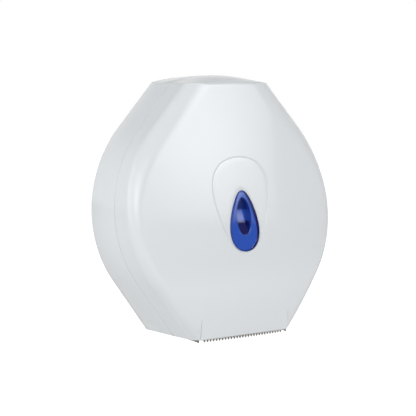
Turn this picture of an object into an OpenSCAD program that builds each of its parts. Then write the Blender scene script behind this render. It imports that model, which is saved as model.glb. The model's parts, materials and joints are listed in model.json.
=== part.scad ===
// Jumbo toilet roll dispenser for a wall: a rear casing, a drop-down front cover with
// a sight window, a roll spindle with a rotating hub, a tear bar and a cam lock.
// The wall is the plane y = 0, the front looks along -Y, and depths are measured
// outwards from the wall. The origin is the centre of the wall screw pattern.

/* [Outline] */
// Radius of the round sides
body_r = 177.5; // [165:0.5:190]
// Half width between the two top corners
top_half_w = 76.5; // [65:0.5:90]
// Height of the top corners over the centre
top_corner_z = 182; // [176:0.5:195]
// Rise of the top over its corners at the wall
top_crown = 8.5; // [6:0.5:12]
// Rise of the top over its corners at the parting line
seam_crown = 10.8; // [9:0.2:12]
// Rise of the top over its corners at the front
front_crown = 3; // [2:0.5:5]
// Half width between the two bottom corners
bottom_half_w = 87.5; // [80:0.5:100]
// Depth of the bottom edge under the centre
bottom_z = 183; // [176:0.5:195]
// Rounding radius of the four corners
corner_r = 5; // [3:0.5:8]
// How much the sides and the bottom draw in from the wall to the front
side_taper = 4.8; // [2:0.2:6]
// How much the top draws in from the wall to the front
top_taper = 1.5; // [0.5:0.25:4]

/* [Front face] */
// Depth of the front at the bottom edge
depth_bottom = 131; // [125:0.5:137]
// Depth of the front at a quarter of the height
depth_lower = 136.5; // [130:0.5:142]
// Depth of the front at three quarters of the height
depth_upper = 109.5; // [106:0.5:114]
// Depth of the front at the top edge
depth_top = 95.5; // [92:0.5:99]
// How far the face falls back from its middle to its sides
face_dome = 20; // [12:1:24]
// Edge rounding along the sides
edge_side_r = 15; // [10:0.5:18]
// How much wider the side rounding gets towards the top
edge_widen = 16; // [10:1:18]
// Edge rounding along the top
edge_top_r = 6; // [4:0.5:8]
// Edge rounding along the bottom
edge_bottom_r = 3.5; // [3:0.25:4.5]

/* [Shells] */
// Wall thickness of the rear casing
casing_wall = 3.2; // [2.8:0.1:3.6]
// Thickness of the casing's back plate
back_wall = 3; // [2.5:0.1:4]
// Wall thickness of the front cover
cover_wall = 2.8; // [2.4:0.1:3.2]
// Depth of the parting line at the bottom
seam_bottom = 76; // [72:0.5:80]
// Depth of the parting line at the top
seam_top = 49; // [47:0.5:52]
// Open gap along the parting line
seam_gap = 0.6; // [0.4:0.1:1]
// Height of the casing's tongue over the parting line
tongue_h = 5; // [3:0.5:6]
// Thickness of the cover's thin rim outside the tongue
rim_t = 1.3; // [1:0.1:1.5]
// Clearance between tongue and rim
tongue_gap = 0.6; // [0.4:0.1:0.7]
// Height below which the tongue fades out
tongue_low_z = -60; // [-80:5:-40]
// Height over which the tongue fades out
tongue_fade_h = 60; // [40:5:80]

/* [Window] */
// Half height of the egg-shaped recess
egg_half_h = 68.7; // [64:0.1:74]
// Height of the egg's middle over the centre
egg_z = 8.7; // [6:0.1:12]
// Half width of the egg at its middle
egg_half_w = 46; // [42:0.5:50]
// Widening of the egg towards its top
egg_widen = 15; // [12:1:17]
// Widening of the egg near both its ends
egg_fill = 7; // [5:1:9]
// Depth of the egg-shaped recess
egg_step = 1.2; // [0.8:0.1:1.6]
// Width of the recess's sloping edge
egg_slope = 1.6; // [1:0.1:2.5]
// Half height of the drop-shaped window
drop_half_h = 42.8; // [38:0.1:46]
// Height of the window's middle under the centre
drop_z = 13.8; // [12:0.1:16]
// Half width of the window at its middle
drop_half_w = 23; // [19:0.5:24]
// Narrowing of the window towards its top
drop_narrow = 8; // [6:0.5:9]
// Widening of the window near both its ends
drop_fill = 1; // [0:0.5:2]
// Clearance round the window in its opening
window_gap = 0.3; // [0.2:0.05:0.5]
// How far the window stands proud of the recess
window_proud = 1.2; // [0.4:0.1:1.6]
// Thickness of the window
window_t = 2.2; // [1.8:0.1:2.6]
// Width of the window's flange behind the cover
flange_w = 4; // [3:0.5:5]
// Half width of the oval thumb recess in the window
oval_half_w = 12; // [9:0.5:13]
// Half height of the oval thumb recess
oval_half_h = 26; // [20:0.5:28]
// Height of the oval's middle under the centre
oval_z = 7.7; // [4:0.1:10]
// Depth of the oval thumb recess
oval_depth = 7; // [4:0.5:9]
// Thickness of the frame that holds the window
frame_t = 2.4; // [2:0.1:3]
// Width from the window to the frame's outer edge
frame_w = 12; // [11:0.5:13]
// Radius of the window's screw bosses
boss_r = 3; // [2.6:0.1:3.2]

/* [Spindle] */
// Height of the spindle under the centre
spindle_z = 10; // [0:1:16]
// Radius of the fixed spindle post
post_r = 11; // [9:0.5:13]
// Length of the spindle post over its flange
post_len = 85; // [80:1:86]
// Radius of the post's flange
post_flange_r = 31; // [29:0.5:34]
// Thickness of the post's flange
post_flange_t = 3; // [2.5:0.5:4]
// Thickness of the casing's boss under the flange
casing_boss_t = 2; // [1.5:0.5:3]
// Radius of the circle of spindle screws
spindle_screw_pcr = 21.5; // [20:0.5:22]
// Radial running clearance of the hub on its post
running_gap = 0.06; // [0.03:0.01:0.09]
// Outer radius of the hub's barrel
hub_r = 26.5; // [25:0.5:27]
// Radius over the hub's ribs, for a 60 mm core
hub_rib_r = 29.3; // [28.5:0.1:29.5]
// Radius of the hub's rear collar
hub_collar_r = 44; // [41:0.5:50]
// Thickness of the hub's rear collar
hub_collar_t = 1.8; // [1.5:0.1:2.5]
// Outer radius of the core adaptor, for a 76 mm core
adaptor_r = 37.2; // [36.5:0.1:37.5]
// Wall thickness of the core adaptor
adaptor_wall = 2.5; // [2:0.1:3]
// Length of the core adaptor
adaptor_len = 52; // [40:1:70]
// Radius of the brake ring
brake_r = 17.5; // [16:0.5:18]
// Thickness of the brake ring
brake_t = 3; // [2:0.5:4]
// Radius of the cap at the spindle's end
cap_r = 21; // [18:0.5:24]
// Thickness of the spindle's cap
cap_t = 3; // [2.5:0.5:4]

/* [Tear bar and outlet] */
// Half width of the flat tear panel
panel_half_w = 74; // [72:0.5:75]
// Height of the tear panel
panel_h = 31; // [24:1:36]
// Half width of the toothed edge
teeth_half_w = 69; // [60:1:70]
// Pitch of the teeth
tooth_pitch = 4.9; // [4:0.1:6]
// Height of the teeth
tooth_h = 3.6; // [2.4:0.2:4]
// Sheet thickness of the tear bar
bar_t = 1.2; // [1:0.1:1.5]
// Height of the tear bar over the teeth
bar_h = 18; // [17:1:22]
// How far the roots of the teeth hang below the cover's edge
bar_drop = 0; // [0:0.1:0.4]

/* [Hinge] */
// Distance of the hinge axis in front of the parting line
hinge_ahead = 7; // [6.6:0.1:8]
// Height of the hinge axis over the cover's bottom edge
hinge_up = 5.2; // [5:0.1:6]
// Radius of the hinge pins
hinge_pin_r = 2.5; // [2:0.1:2.8]
// Radius of the hinge eyes
hinge_eye_r = 5; // [4.6:0.1:5]
// Thickness of the casing's hinge lugs
lug_t = 4.5; // [3.5:0.5:5]
// Thickness of the cover's hinge ribs
rib_t = 5; // [4:0.5:5.5]
// Side clearance between hinge parts
hinge_gap = 0.5; // [0.4:0.1:0.8]

/* [Lock] */
// Depth of the lock's axis from the wall
lock_depth = 24; // [22:0.5:25]
// Radius of the lock's flange
lock_flange_r = 11; // [10:0.5:12]
// Radius of the lock's sleeve
lock_sleeve_r = 8.5; // [8:0.5:9]
// Radius of the turning barrel
barrel_r = 6; // [5:0.5:6.5]
// Length of the lock's sleeve
lock_sleeve_len = 19; // [17:0.5:20]
// Width across the flats of the lock's nut
lock_nut_af = 22; // [20:0.5:23]
// Reach of the cam from its axis to the finger's far side
cam_reach = 25.5; // [25:0.5:27]
// Thickness of the cam
cam_t = 2.5; // [2:0.5:3]
// Thickness of the finger at the cam's end
finger_t = 3.5; // [3:0.5:4]
// Thickness of the strike plate
strike_t = 2; // [1.5:0.5:2.5]

/* [Wall fixing] */
// Spacing of the wall screws across
fix_x = 200; // [160:5:210]
// Spacing of the wall screws up and down
fix_z = 160; // [120:5:170]
// Radius of the wall screw holes
fix_hole_r = 3; // [2.5:0.25:4]
// Radius of the bosses round the wall screw holes
fix_boss_r = 9; // [7:0.5:11]
// Height of those bosses over the back plate
fix_boss_h = 2; // [1:0.5:4]

/* [Hidden] */

$fn = 64;
eps = 0.01;
cut = 1;            // how far a cutting shape runs past the faces it cuts
lap = 1;            // how far a shape runs into the one it is joined to
seat_gap = 0.1;     // room between flat faces that are screwed together
fit_gap = 0.3;      // clearance between pieces that are screwed or clipped together
screw_gap = 0.05;   // radial clearance of a screw in its pilot hole
hole_gap = 0.3;     // radial clearance of a screw in a passing hole

shell_white = [0.93, 0.94, 0.95];
part_white = [0.86, 0.87, 0.88];
window_blue = [0.16, 0.25, 0.72, 0.75];
steel = [0.62, 0.61, 0.59];
hub_grey = [0.72, 0.73, 0.75];
felt_black = [0.25, 0.25, 0.26];

// ---- outline of the body, seen from the front ----

// flank angle: the side's straight run touches the round side where its normal has this angle
function flank_angle(w, z, side) =
    side * (atan2(z, w) - acos(body_r / norm([w, z])));
top_flank_a = flank_angle(top_half_w, top_corner_z, 1);
bottom_flank_a = flank_angle(bottom_half_w, bottom_z, -1);

// centre of a corner's rounding between two edges given by normal angle and distance
function meet(a1, d1, a2, d2) =
    [d1 * sin(a2) - d2 * sin(a1), d2 * cos(a1) - d1 * cos(a2)] / sin(a2 - a1);
function dir(a) = [cos(a), sin(a)];
function mix(a, b, t) = a + (b - a) * t;
function clamp(t) = min(1, max(0, t));

// number of steps along each stretch of the outline
crown_n = 7;
corner_n = 3;
flank_n = 5;
round_n = 18;
base_n = 5;

// right half of the outline from the top to the bottom, with the sides, the top corners
// and the bottom moved in by their own amounts, and the top risen by crown in its middle
function half_outline(t, top_t, base_t, crown) =
    let (r = body_r - t, top = top_corner_z - top_t, base = bottom_z - base_t,
        w = (r - top * sin(top_flank_a)) / cos(top_flank_a),
        crown_r = (w * w + crown * crown) / (2 * crown), crown_c = top + crown - crown_r,
        edge_a = 90 - asin(w / crown_r),
        top_c = meet(top_flank_a, r - corner_r, edge_a, [w, top] * dir(edge_a) - corner_r),
        base_c = meet(bottom_flank_a, r - corner_r, -90, base - corner_r),
        start_a = 90 - asin((top_c[0] + corner_r * cos(edge_a)) / crown_r),
        flank_top = top_c + corner_r * dir(top_flank_a),
        flank_base = base_c + corner_r * dir(bottom_flank_a))
    concat(
        [for (i = [0:crown_n - 1]) [0, crown_c] + crown_r * dir(mix(90, start_a, i / crown_n))],
        [for (i = [0:corner_n]) top_c + corner_r * dir(mix(edge_a, top_flank_a, i / corner_n))],
        [for (i = [1:flank_n - 1]) mix(flank_top, r * dir(top_flank_a), i / flank_n)],
        [for (i = [0:round_n]) r * dir(mix(top_flank_a, bottom_flank_a, i / round_n))],
        [for (i = [1:flank_n - 1]) mix(r * dir(bottom_flank_a), flank_base, i / flank_n)],
        [for (i = [0:corner_n]) base_c + corner_r * dir(mix(bottom_flank_a, -90, i / corner_n))],
        [for (i = [1:base_n]) [base_c[0] * (1 - i / base_n), -base]]);
function whole(half) = concat(half, [for (i = [len(half) - 2:-1:1]) [-half[i][0], half[i][1]]]);
function outline(t, top_t, base_t, crown) = whole(half_outline(t, top_t, base_t, crown));

// ---- depths ----

full_h = top_corner_z + bottom_z;
// depth of the face's middle line, a smooth curve through the four stated depths
function rise(z) = (z + bottom_z) / full_h;
function mid_depth(z) = let (u = rise(z))
    depth_bottom * (u - 1/4) * (u - 3/4) * (1 - u) * 16/3
    + depth_lower * u * (u - 3/4) * (u - 1) * 32/3
    + depth_upper * u * (u - 1/4) * (1 - u) * 32/3
    + depth_top * u * (u - 1/4) * (u - 3/4) * 16/3;
function face_depth(x, z) = mid_depth(z) - face_dome * pow(x / body_r, 2);
// how far an edge rounding of height h and width w drops the face, at a distance from its edge
function round_drop(h, w, dist) = dist >= w ? 0 : h * (1 - sqrt(1 - pow(1 - max(0, dist) / w, 2)));
widen_low_z = 5;            // heights between which the side rounding gets wider
widen_high_z = 125;
function side_round_w(z) = let (s = clamp((z - widen_low_z) / (widen_high_z - widen_low_z)))
    edge_side_r + edge_widen * s * s * (3 - 2 * s);
// how far a plan point lies out towards the sides, which all touch one circle
function side_reach(q) = let (a = atan2(q[1], abs(q[0])))
    a > top_flank_a ? [abs(q[0]), q[1]] * dir(top_flank_a)
    : a < bottom_flank_a ? [abs(q[0]), q[1]] * dir(bottom_flank_a) : norm(q);
function top_edge_z(x) = top_corner_z - top_taper + front_crown * (1 - pow(x / top_half_w, 2));
// depth of the cover's surface, t inside its outer face: where two roundings meet, the deeper counts
function skin_depth(q, t) = face_depth(q[0], q[1]) - t - max(
    round_drop(edge_side_r - t, side_round_w(q[1]) - t, body_r - side_taper - t - side_reach(q)),
    round_drop(edge_top_r - t, edge_top_r - t, top_edge_z(q[0]) - t - q[1]),
    round_drop(edge_bottom_r - t, edge_bottom_r - t, bottom_z - side_taper - t + q[1]));
function seam_depth(z) = mix(seam_bottom, seam_top, rise(z));
function draw_in(d) = side_taper * d / depth_lower;
function top_draw_in(d) = top_taper * d / depth_top;
// rise of the top over its corners: straight to the parting line, then falling ever faster
function crown_at(d) = d < seam_top ? mix(top_crown, seam_crown, d / seam_top)
    : mix(seam_crown, front_crown, pow((d - seam_top) / (depth_top - seam_top), 2));
// a solid point from a plan point and a depth
function at(q, d) = [q[0], -d, q[1]];

cover_base_z = -bottom_z + draw_in(seam_bottom);
front_base_z = -bottom_z + draw_in(depth_bottom);

// ---- egg and drop shapes, by angle round their middle ----

function egg(a, grow) = let (s = sin(a))
    [cos(a) * (egg_half_w + grow + egg_widen * s + egg_fill * s * s), egg_z + (egg_half_h + grow) * s];
function drop(a, grow) = let (s = sin(a))
    [cos(a) * (drop_half_w + grow - drop_narrow * s + drop_fill * s * s), -drop_z + (drop_half_h + grow) * s];
function oval(a, grow) = [(oval_half_w + grow) * cos(a), -oval_z + (oval_half_h + grow) * sin(a)];

// ---- solids from rings of points ----

// side faces between successive rings of n points
function band_faces(rows, n) = [for (r = [0:rows - 2], i = [0:n - 1], k = [0, 1])
    let (a = r * n + i, b = r * n + (i + 1) % n)
    k == 0 ? [a, b, b + n] : [a, b + n, a + n]];
// a ring-shaped solid: the last ring joins the first
module ring_solid(rings) {
    n = len(rings[0]);
    polyhedron([for (r = rings, p = r) p],
        [for (f = band_faces(len(rings) + 1, n)) [for (v = f) v % (n * len(rings))]]);
}
// a solid whose first and last rings are closed by flat or domed ends
module capped_solid(rings, first, last) {
    n = len(rings[0]);
    total = n * len(rings);
    polyhedron(concat([for (r = rings, p = r) p], [first, last]),
        concat(band_faces(len(rings), n),
            [for (i = [0:n - 1]) [(i + 1) % n, i, total]],
            [for (i = [0:n - 1]) [total - n + i, total - n + (i + 1) % n, total + 1]]));
}

// a cylinder along Y between two depths
module rod(x, z, d1, d2, r) {
    translate([x, -d1, z]) rotate([90, 0, 0]) cylinder(r = r, h = d2 - d1);
}
// a cylinder along X between two places
module cross_rod(x1, x2, d, z, r) {
    translate([x1, -d, z]) rotate([0, 90, 0]) cylinder(r = r, h = x2 - x1);
}
// a plate across X, drawn as [depth, z]
module cross_plate(x1, x2) {
    translate([x1, 0, 0]) rotate([90, 0, 90]) linear_extrude(x2 - x1) mirror([1, 0]) children();
}
module both_sides() {
    children();
    mirror([1, 0, 0]) children();
}

// ---- rear casing ----

hinge_d = seam_bottom + hinge_ahead;
hinge_z = cover_base_z + hinge_up;
lug_x = panel_half_w + 1;           // outer face of the casing's lug
bar_x = lug_x + hinge_gap;          // inner face of the tear bar's arm
rib_x = bar_x + bar_t + fit_gap;    // inner face of the cover's hinge rib

tongue_in = rim_t + tongue_gap;
function tongue_rise(z) =
    mix(seam_gap / 2, tongue_h, clamp((z - tongue_low_z) / tongue_fade_h + 1));

// outline t inside the outer surface at a depth from the wall
function outline_at(t, side_d, top_d) =
    outline(draw_in(side_d) + t, top_draw_in(top_d) + t, draw_in(side_d) + t, crown_at(top_d));
function flat_ring(t, d) = [for (q = outline_at(t, d, d)) at(q, d)];
// outline t inside the outer surface, a rise over the slanting parting line
function seam_ring(t, tongue, lift) = [for (q = outline_at(t, seam_bottom, seam_top + lift))
    at(q, seam_depth(q[1]) + lift + (tongue ? tongue_rise(q[1]) : 0))];

module casing_tray() {
    rings = [flat_ring(0, 0), seam_ring(0, false, 0), seam_ring(tongue_in, false, 0),
        seam_ring(tongue_in, true, 0), seam_ring(casing_wall, true, 0), flat_ring(casing_wall, back_wall)];
    capped_solid(rings, [0, 0, 0], [0, -back_wall, 0]);
}

function top_z(d) = top_corner_z - top_draw_in(d) + crown_at(d);
lock_sunk = 0.4;            // how far the lock's flange lies under the top
lock_flange_t = 1.8;
lock_boss_h = 7;
lock_boss_wall = 4;         // width of the casing's boss outside the flange
lock_top_z = top_z(lock_depth) - lock_sunk;
lock_seat_z = lock_top_z - lock_flange_t;
lock_boss_z = lock_seat_z - lock_boss_h + lap;
lock_boss_r = lock_flange_r + lock_boss_wall;

module lock_axis() {
    translate([0, -lock_depth, 0]) children();
}

lug_root_back = 30;         // distance of the lug's root behind the parting line
lug_root = [20, 14];        // length and height of the lug's root
module hinge_lug() {
    cross_plate(lug_x - lug_t, lug_x) hull() {
        translate([hinge_d, hinge_z]) circle(r = hinge_eye_r, $fn = 32);
        translate([seam_bottom - lug_root_back, cover_base_z + lap]) square(lug_root);
    }
}

spindle_boss_rim = 3;       // width of the casing's boss outside the post's flange
tip_room = 0.5;             // room past a spindle screw's tip

module rear_casing() color(shell_white) difference() {
    union() {
        casing_tray();
        rod(0, -spindle_z, back_wall - lap, back_wall + casing_boss_t, post_flange_r + spindle_boss_rim);
        for (x = [-1, 1], z = [-1, 1])
            rod(x * fix_x / 2, z * fix_z / 2, back_wall - lap, back_wall + fix_boss_h, fix_boss_r);
        both_sides() hinge_lug();
        lock_axis() translate([0, 0, lock_boss_z]) cylinder(r = lock_boss_r, h = lock_boss_h);
    }
    for (x = [-1, 1], z = [-1, 1])
        rod(x * fix_x / 2, z * fix_z / 2, -cut, back_wall + fix_boss_h + cut, fix_hole_r);
    spindle_screw_places()
        rod(0, 0, spindle_screw_tip - tip_room, back_wall + casing_boss_t + cut, pilot_r);
    both_sides() cross_rod(lug_x - lug_t - cut, lug_x + cut, hinge_d, hinge_z, hinge_pin_r + screw_gap);
    lock_axis() {
        translate([0, 0, lock_boss_z - cut])
            cylinder(r = lock_sleeve_r + hole_gap, h = lock_boss_h + 2 * cut);
        translate([0, 0, lock_seat_z]) cylinder(r = lock_flange_r + hole_gap, h = lock_boss_h);
    }
}

// ---- front cover ----

wall_steps = 4;
edge_steps = 4;
tongue_end_gap = 1;         // room past the tongue's end
rim_lift = seam_gap + tongue_h + tongue_end_gap;
face_steps = 4;

// how far a rounding of radius r has come in at angle a, measured from t inside
function round_in(r, t, a) = t + (r - t) * (1 - cos(a));
// ring at angle a of the edge rounding, t inside the outer surface
function edge_ring(a, t) = [for (q = outline(side_taper + round_in(edge_side_r, t, a),
        top_taper + round_in(edge_top_r, t, a), side_taper + round_in(edge_bottom_r, t, a), front_crown))
    at(q, skin_depth(q, t))];
// ring on the wall, from the parting line (f = 0) to the edge rounding (f = 1), t inside
function wall_ring(f, t) = let (seam = seam_ring(t, false, seam_gap), edge = edge_ring(0, t),
        side_in = mix(draw_in(seam_bottom), side_taper, f) + t,
        top_in = mix(top_draw_in(seam_top), top_taper, f) + t,
        plan = outline(side_in, top_in, side_in, crown_at(mix(seam_top, depth_top, f))))
    [for (i = [0:len(plan) - 1]) at(plan[i], -mix(seam[i][1], edge[i][1], f))];
// ring on the face, from the edge rounding (f = 0) to the egg (f = 1)
function face_ring(f, t) = let (edge = edge_ring(90, t))
    [for (p = edge) let (o = [p[0], p[2]], q = mix(o, egg(plan_angle(o, egg_z), 0), f))
        at(q, skin_depth(q, t))];
// ring in the recess, from the egg (f = 0) to the window's opening (f = 1)
function recess_ring(f, t) =
    [for (o = outline(0, 0, 0, front_crown))
        let (q = mix(egg(plan_angle(o, egg_z), -egg_slope), drop(plan_angle(o, -drop_z), 0), f))
        at(q, face_depth(q[0], q[1]) - egg_step - t)];
function plan_angle(p, z) = atan2(p[1] - z, p[0]);

module cover_skin() {
    w = cover_wall;
    ring_solid(concat(
        [for (i = [0:wall_steps - 1]) wall_ring(i / wall_steps, 0)],
        [for (i = [0:edge_steps]) edge_ring(90 * i / edge_steps, 0)],
        [for (i = [1:face_steps]) face_ring(i / face_steps, 0)],
        [recess_ring(0, 0), recess_ring(0.5, 0), recess_ring(1, 0)],
        [recess_ring(1, w), recess_ring(0.5, w), recess_ring(0, w)],
        [for (i = [face_steps:-1:1]) face_ring(i / face_steps, w)],
        [for (i = [edge_steps:-1:0]) edge_ring(90 * i / edge_steps, w)],
        [for (i = [wall_steps - 1:-1:1]) wall_ring(i / wall_steps, w)],
        [seam_ring(w, false, rim_lift), seam_ring(rim_t, false, rim_lift),
            seam_ring(rim_t, false, seam_gap)]));
}

// the tear panel: flat across at the bottom, running into the domed face at its top
panel_in = 0.4;             // how far the panel's middle lies inside the face at the bottom
panel_skin = 0.2;           // thickness of the cover's wall left behind the panel's middle
curve_n = 14;               // steps across the curve of the front wall
panel_tilt = atan((face_depth(panel_half_w, front_base_z + panel_h)
    - face_depth(0, front_base_z) + panel_in) / panel_h);
module tear_panel() difference() {
    translate([0, -face_depth(0, front_base_z) + panel_in, front_base_z]) rotate([panel_tilt, 0, 0])
        linear_extrude(panel_h) polygon(concat([[-panel_half_w, 0], [panel_half_w, 0]],
            [for (i = [curve_n:-1:0]) let (x = mix(-panel_half_w, panel_half_w, i / curve_n))
                [x, cover_wall - panel_in - panel_skin + face_dome * pow(x / body_r, 2)]]));
    behind_front(-cut, panel_h + cut);
}

// depth of the front wall where it is shallowest over the tear bar's height
function front_wall(x) = min(face_depth(x, front_base_z), face_depth(x, front_base_z + bar_h));
function outlet_front(x) = front_wall(x) - cover_wall;
outlet_past = 10;           // how far the outlet's cut runs past the cover's rear and bottom edges
outlet_up = 6;              // height of the cut over the front's bottom edge
// the space behind the front wall, between two heights over the front's bottom edge
module behind_front(low, high) {
    w = rib_x - eps;
    translate([0, 0, front_base_z + low]) linear_extrude(high - low) polygon(concat(
        [[-w, -seam_bottom + outlet_past], [w, -seam_bottom + outlet_past]],
        [for (i = [curve_n:-1:0]) let (x = mix(-w, w, i / curve_n)) [x, -outlet_front(x)]]));
}

rib_up = 9;                 // height of the rib over the hinge axis
rib_ahead = 3;              // distance of the rib's upper rear corner in front of the hinge axis
rib_low_in = 0.4;           // how far the rib's foot lies over the front's bottom edge
rib_top_z = hinge_z + rib_up;
rib_front_d = skin_depth([rib_x + rib_t, front_base_z + cover_wall], cover_wall) + lap;
module hinge_rib() {
    cross_plate(rib_x, rib_x + rib_t) union() {
        translate([hinge_d, hinge_z]) circle(r = hinge_eye_r);
        polygon([[hinge_d, hinge_z - hinge_eye_r], [rib_front_d, front_base_z + rib_low_in],
            [rib_front_d, rib_top_z], [hinge_d + rib_ahead, rib_top_z], [hinge_d - hinge_eye_r, hinge_z]]);
    }
}
// rounds off the cover's lower rear corner, so that it clears the casing as it turns
relief_reach = 12;          // how far the relief reaches behind and under the hinge axis
relief_gap = 0.2;           // room between the relief and the hinge eye
module hinge_relief() {
    cross_plate(rib_x - cut, body_r) difference() {
        translate([hinge_d - relief_reach, hinge_z - relief_reach]) square(relief_reach);
        translate([hinge_d, hinge_z]) circle(r = hinge_eye_r + relief_gap);
    }
}

window_screw_angles = [90, -26, -90, 206];
window_screw_grow = 8.5;
frame_face_in = egg_step + cover_wall + fit_gap + window_t + fit_gap;
module window_screw_places() {
    for (a = window_screw_angles) let (q = drop(a, window_screw_grow))
        translate([q[0], -face_depth(q[0], q[1]) + frame_face_in, q[1]]) children();
}
boss_seat = 0.5;            // room under the bosses, because the face slopes across them
boss_skin = 1.2;            // thickness of the wall left in front of a boss
pilot_r = 1.6;
pilot_len = 4.5;
small_screw_r = pilot_r - screw_gap;
screw_bite = 3.6;           // length of a small screw in its boss
head_r = 3;                 // radius and height of a small screw's head
head_h = 1.8;

bar_screw_x = [-50, 0, 50];
bar_screw_up = 13;          // height of the tear bar's screws over the front's bottom edge
bar_screw_z = front_base_z + bar_screw_up;
bar_in = cover_wall + fit_gap;
bar_boss_h = bar_in + face_depth(0, bar_screw_z) - front_wall(0) - boss_skin;
module bar_screw_places() {
    for (x = bar_screw_x)
        translate([x, -front_wall(x) + bar_in, bar_screw_z]) children();
}
module towards_front() {
    rotate([90, 0, 0]) children();
}
module towards_wall() {
    rotate([-90, 0, 0]) children();
}

// pad under the cover's top wall, for the strike plate
strike_half_w = 14;
strike_pad_ahead = 10;      // distance of the pad in front of the parting line
strike_pad_len = 22;
strike_under = 2;           // room between the strike plate and the lock's boss
strike_screw_in = 12;       // distance of the screws from the pad's rear end
strike_screw_x = 8;
strike_pad_d = seam_top + strike_pad_ahead;
strike_z = lock_boss_z - strike_under - strike_t;
strike_screw_d = strike_pad_d + strike_screw_in;

// the pilot hole of a small screw, upwards from z = 0
module pilot() {
    translate([0, 0, -cut]) cylinder(r = pilot_r, h = cut + pilot_len);
}

module front_cover() color(shell_white) difference() {
    union() {
        difference() {
            cover_skin();
            behind_front(-outlet_past, outlet_up);
        }
        tear_panel();
        both_sides() hinge_rib();
        window_screw_places() towards_front() translate([0, 0, boss_seat])
            cylinder(r = boss_r, h = frame_face_in - egg_step - boss_skin - boss_seat);
        bar_screw_places() towards_front() translate([0, 0, fit_gap]) cylinder(r = boss_r, h = bar_boss_h);
        translate([-strike_half_w, -strike_pad_d - strike_pad_len, strike_z + strike_t])
            cube([2 * strike_half_w, strike_pad_len, cover_top_z - boss_skin - strike_z - strike_t]);
    }
    both_sides() hinge_relief();
    both_sides() cross_rod(rib_x - cut, rib_x + rib_t + cut, hinge_d, hinge_z, hinge_pin_r + running_gap);
    window_screw_places() towards_front() pilot();
    bar_screw_places() towards_front() pilot();
    for (x = [-1, 1]) translate([x * strike_screw_x, -strike_screw_d, strike_z + strike_t]) pilot();
}
cover_top_z = top_z(strike_pad_d + strike_pad_len);

// ---- window ----

window_n = 64;
function window_ring(grow, d) = [for (i = [0:window_n - 1]) let (q = drop(360 * i / window_n, grow))
    at(q, face_depth(q[0], q[1]) - egg_step + d)];
function oval_ring(grow, d) = [for (i = [0:window_n - 1]) let (q = oval(360 * i / window_n, grow))
    at(q, face_depth(q[0], q[1]) - egg_step + d)];
bowl_lip = 1;               // width of the rounding round the thumb recess
bowl_side = 9;              // width of the recess's curved side
bowl_in = 0.6;              // share of the wall that widens the recess's back
bowl_step = 22.5;           // angle between the rings of the curved side
window_chamfer = 0.8;
oval_bottom = face_depth(0, -oval_z) - egg_step + window_proud - oval_depth;
// ring of the thumb recess, from its lip (a = 0) to its floor (a = 90), t inside the window
function bowl_ring(a, t) =
    oval_ring(bowl_lip - bowl_side + (bowl_side + t * bowl_in) * cos(a),
        window_proud - t - oval_depth * sin(a));

module sight_window() color(window_blue) {
    back = -cover_wall - fit_gap;
    inner = -window_gap - window_t;
    capped_solid(concat(
        [for (a = [90:-bowl_step:0]) bowl_ring(a, 0)],
        [window_ring(-window_gap - window_chamfer, window_proud),
            window_ring(-window_gap, window_proud - window_chamfer),
            window_ring(-window_gap, back), window_ring(flange_w, back),
            window_ring(flange_w, back - window_t), window_ring(inner, back - window_t),
            window_ring(inner, window_proud - window_t)],
        [for (a = [0:bowl_step:90]) bowl_ring(a, window_t)]),
        [0, -oval_bottom, -oval_z], [0, -oval_bottom + window_t, -oval_z]);
}

frame_edge = 1;             // how far the frame's opening lies outside the window's edge
module window_frame() color(part_white) difference() {
    front = -frame_face_in + egg_step;
    ring_solid([window_ring(frame_edge, front), window_ring(frame_w, front),
        window_ring(frame_w, front - frame_t), window_ring(frame_edge, front - frame_t)]);
    window_screw_places() towards_wall() passing_hole(frame_t);
}

// a hole that a small screw passes through, in a sheet of thickness t
module passing_hole(t) {
    translate([0, 0, -cut]) cylinder(r = pilot_r + hole_gap, h = t + 2 * cut);
}
cross_w = 1;                // width of the cross slot in a screw's head
cross_reach = 0.55;         // its half length as a share of the head's radius
cross_depth = 0.6;          // its depth as a share of the head's height
// a pan-head screw whose head rests on z = 0 and whose shank points up
module pan_screw(shank_r, shank_len, head_r, head_h) {
    cylinder(r = shank_r, h = shank_len);
    difference() {
        translate([0, 0, -head_h]) cylinder(r = head_r, h = head_h + eps);
        translate([0, 0, -head_h - eps]) {
            for (a = [0, 90]) rotate([0, 0, a]) translate([-head_r * cross_reach, -cross_w / 2, 0])
                cube([2 * head_r * cross_reach, cross_w, head_h * cross_depth]);
        }
    }
}

head_room = 0.9;            // room under the heads on the frame, because it slopes
module window_screws() color(steel)
    window_screw_places() translate([0, frame_t + head_room, 0]) towards_front()
        pan_screw(small_screw_r, frame_t + head_room + screw_bite, head_r, head_h);

// ---- tear bar ----

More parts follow.
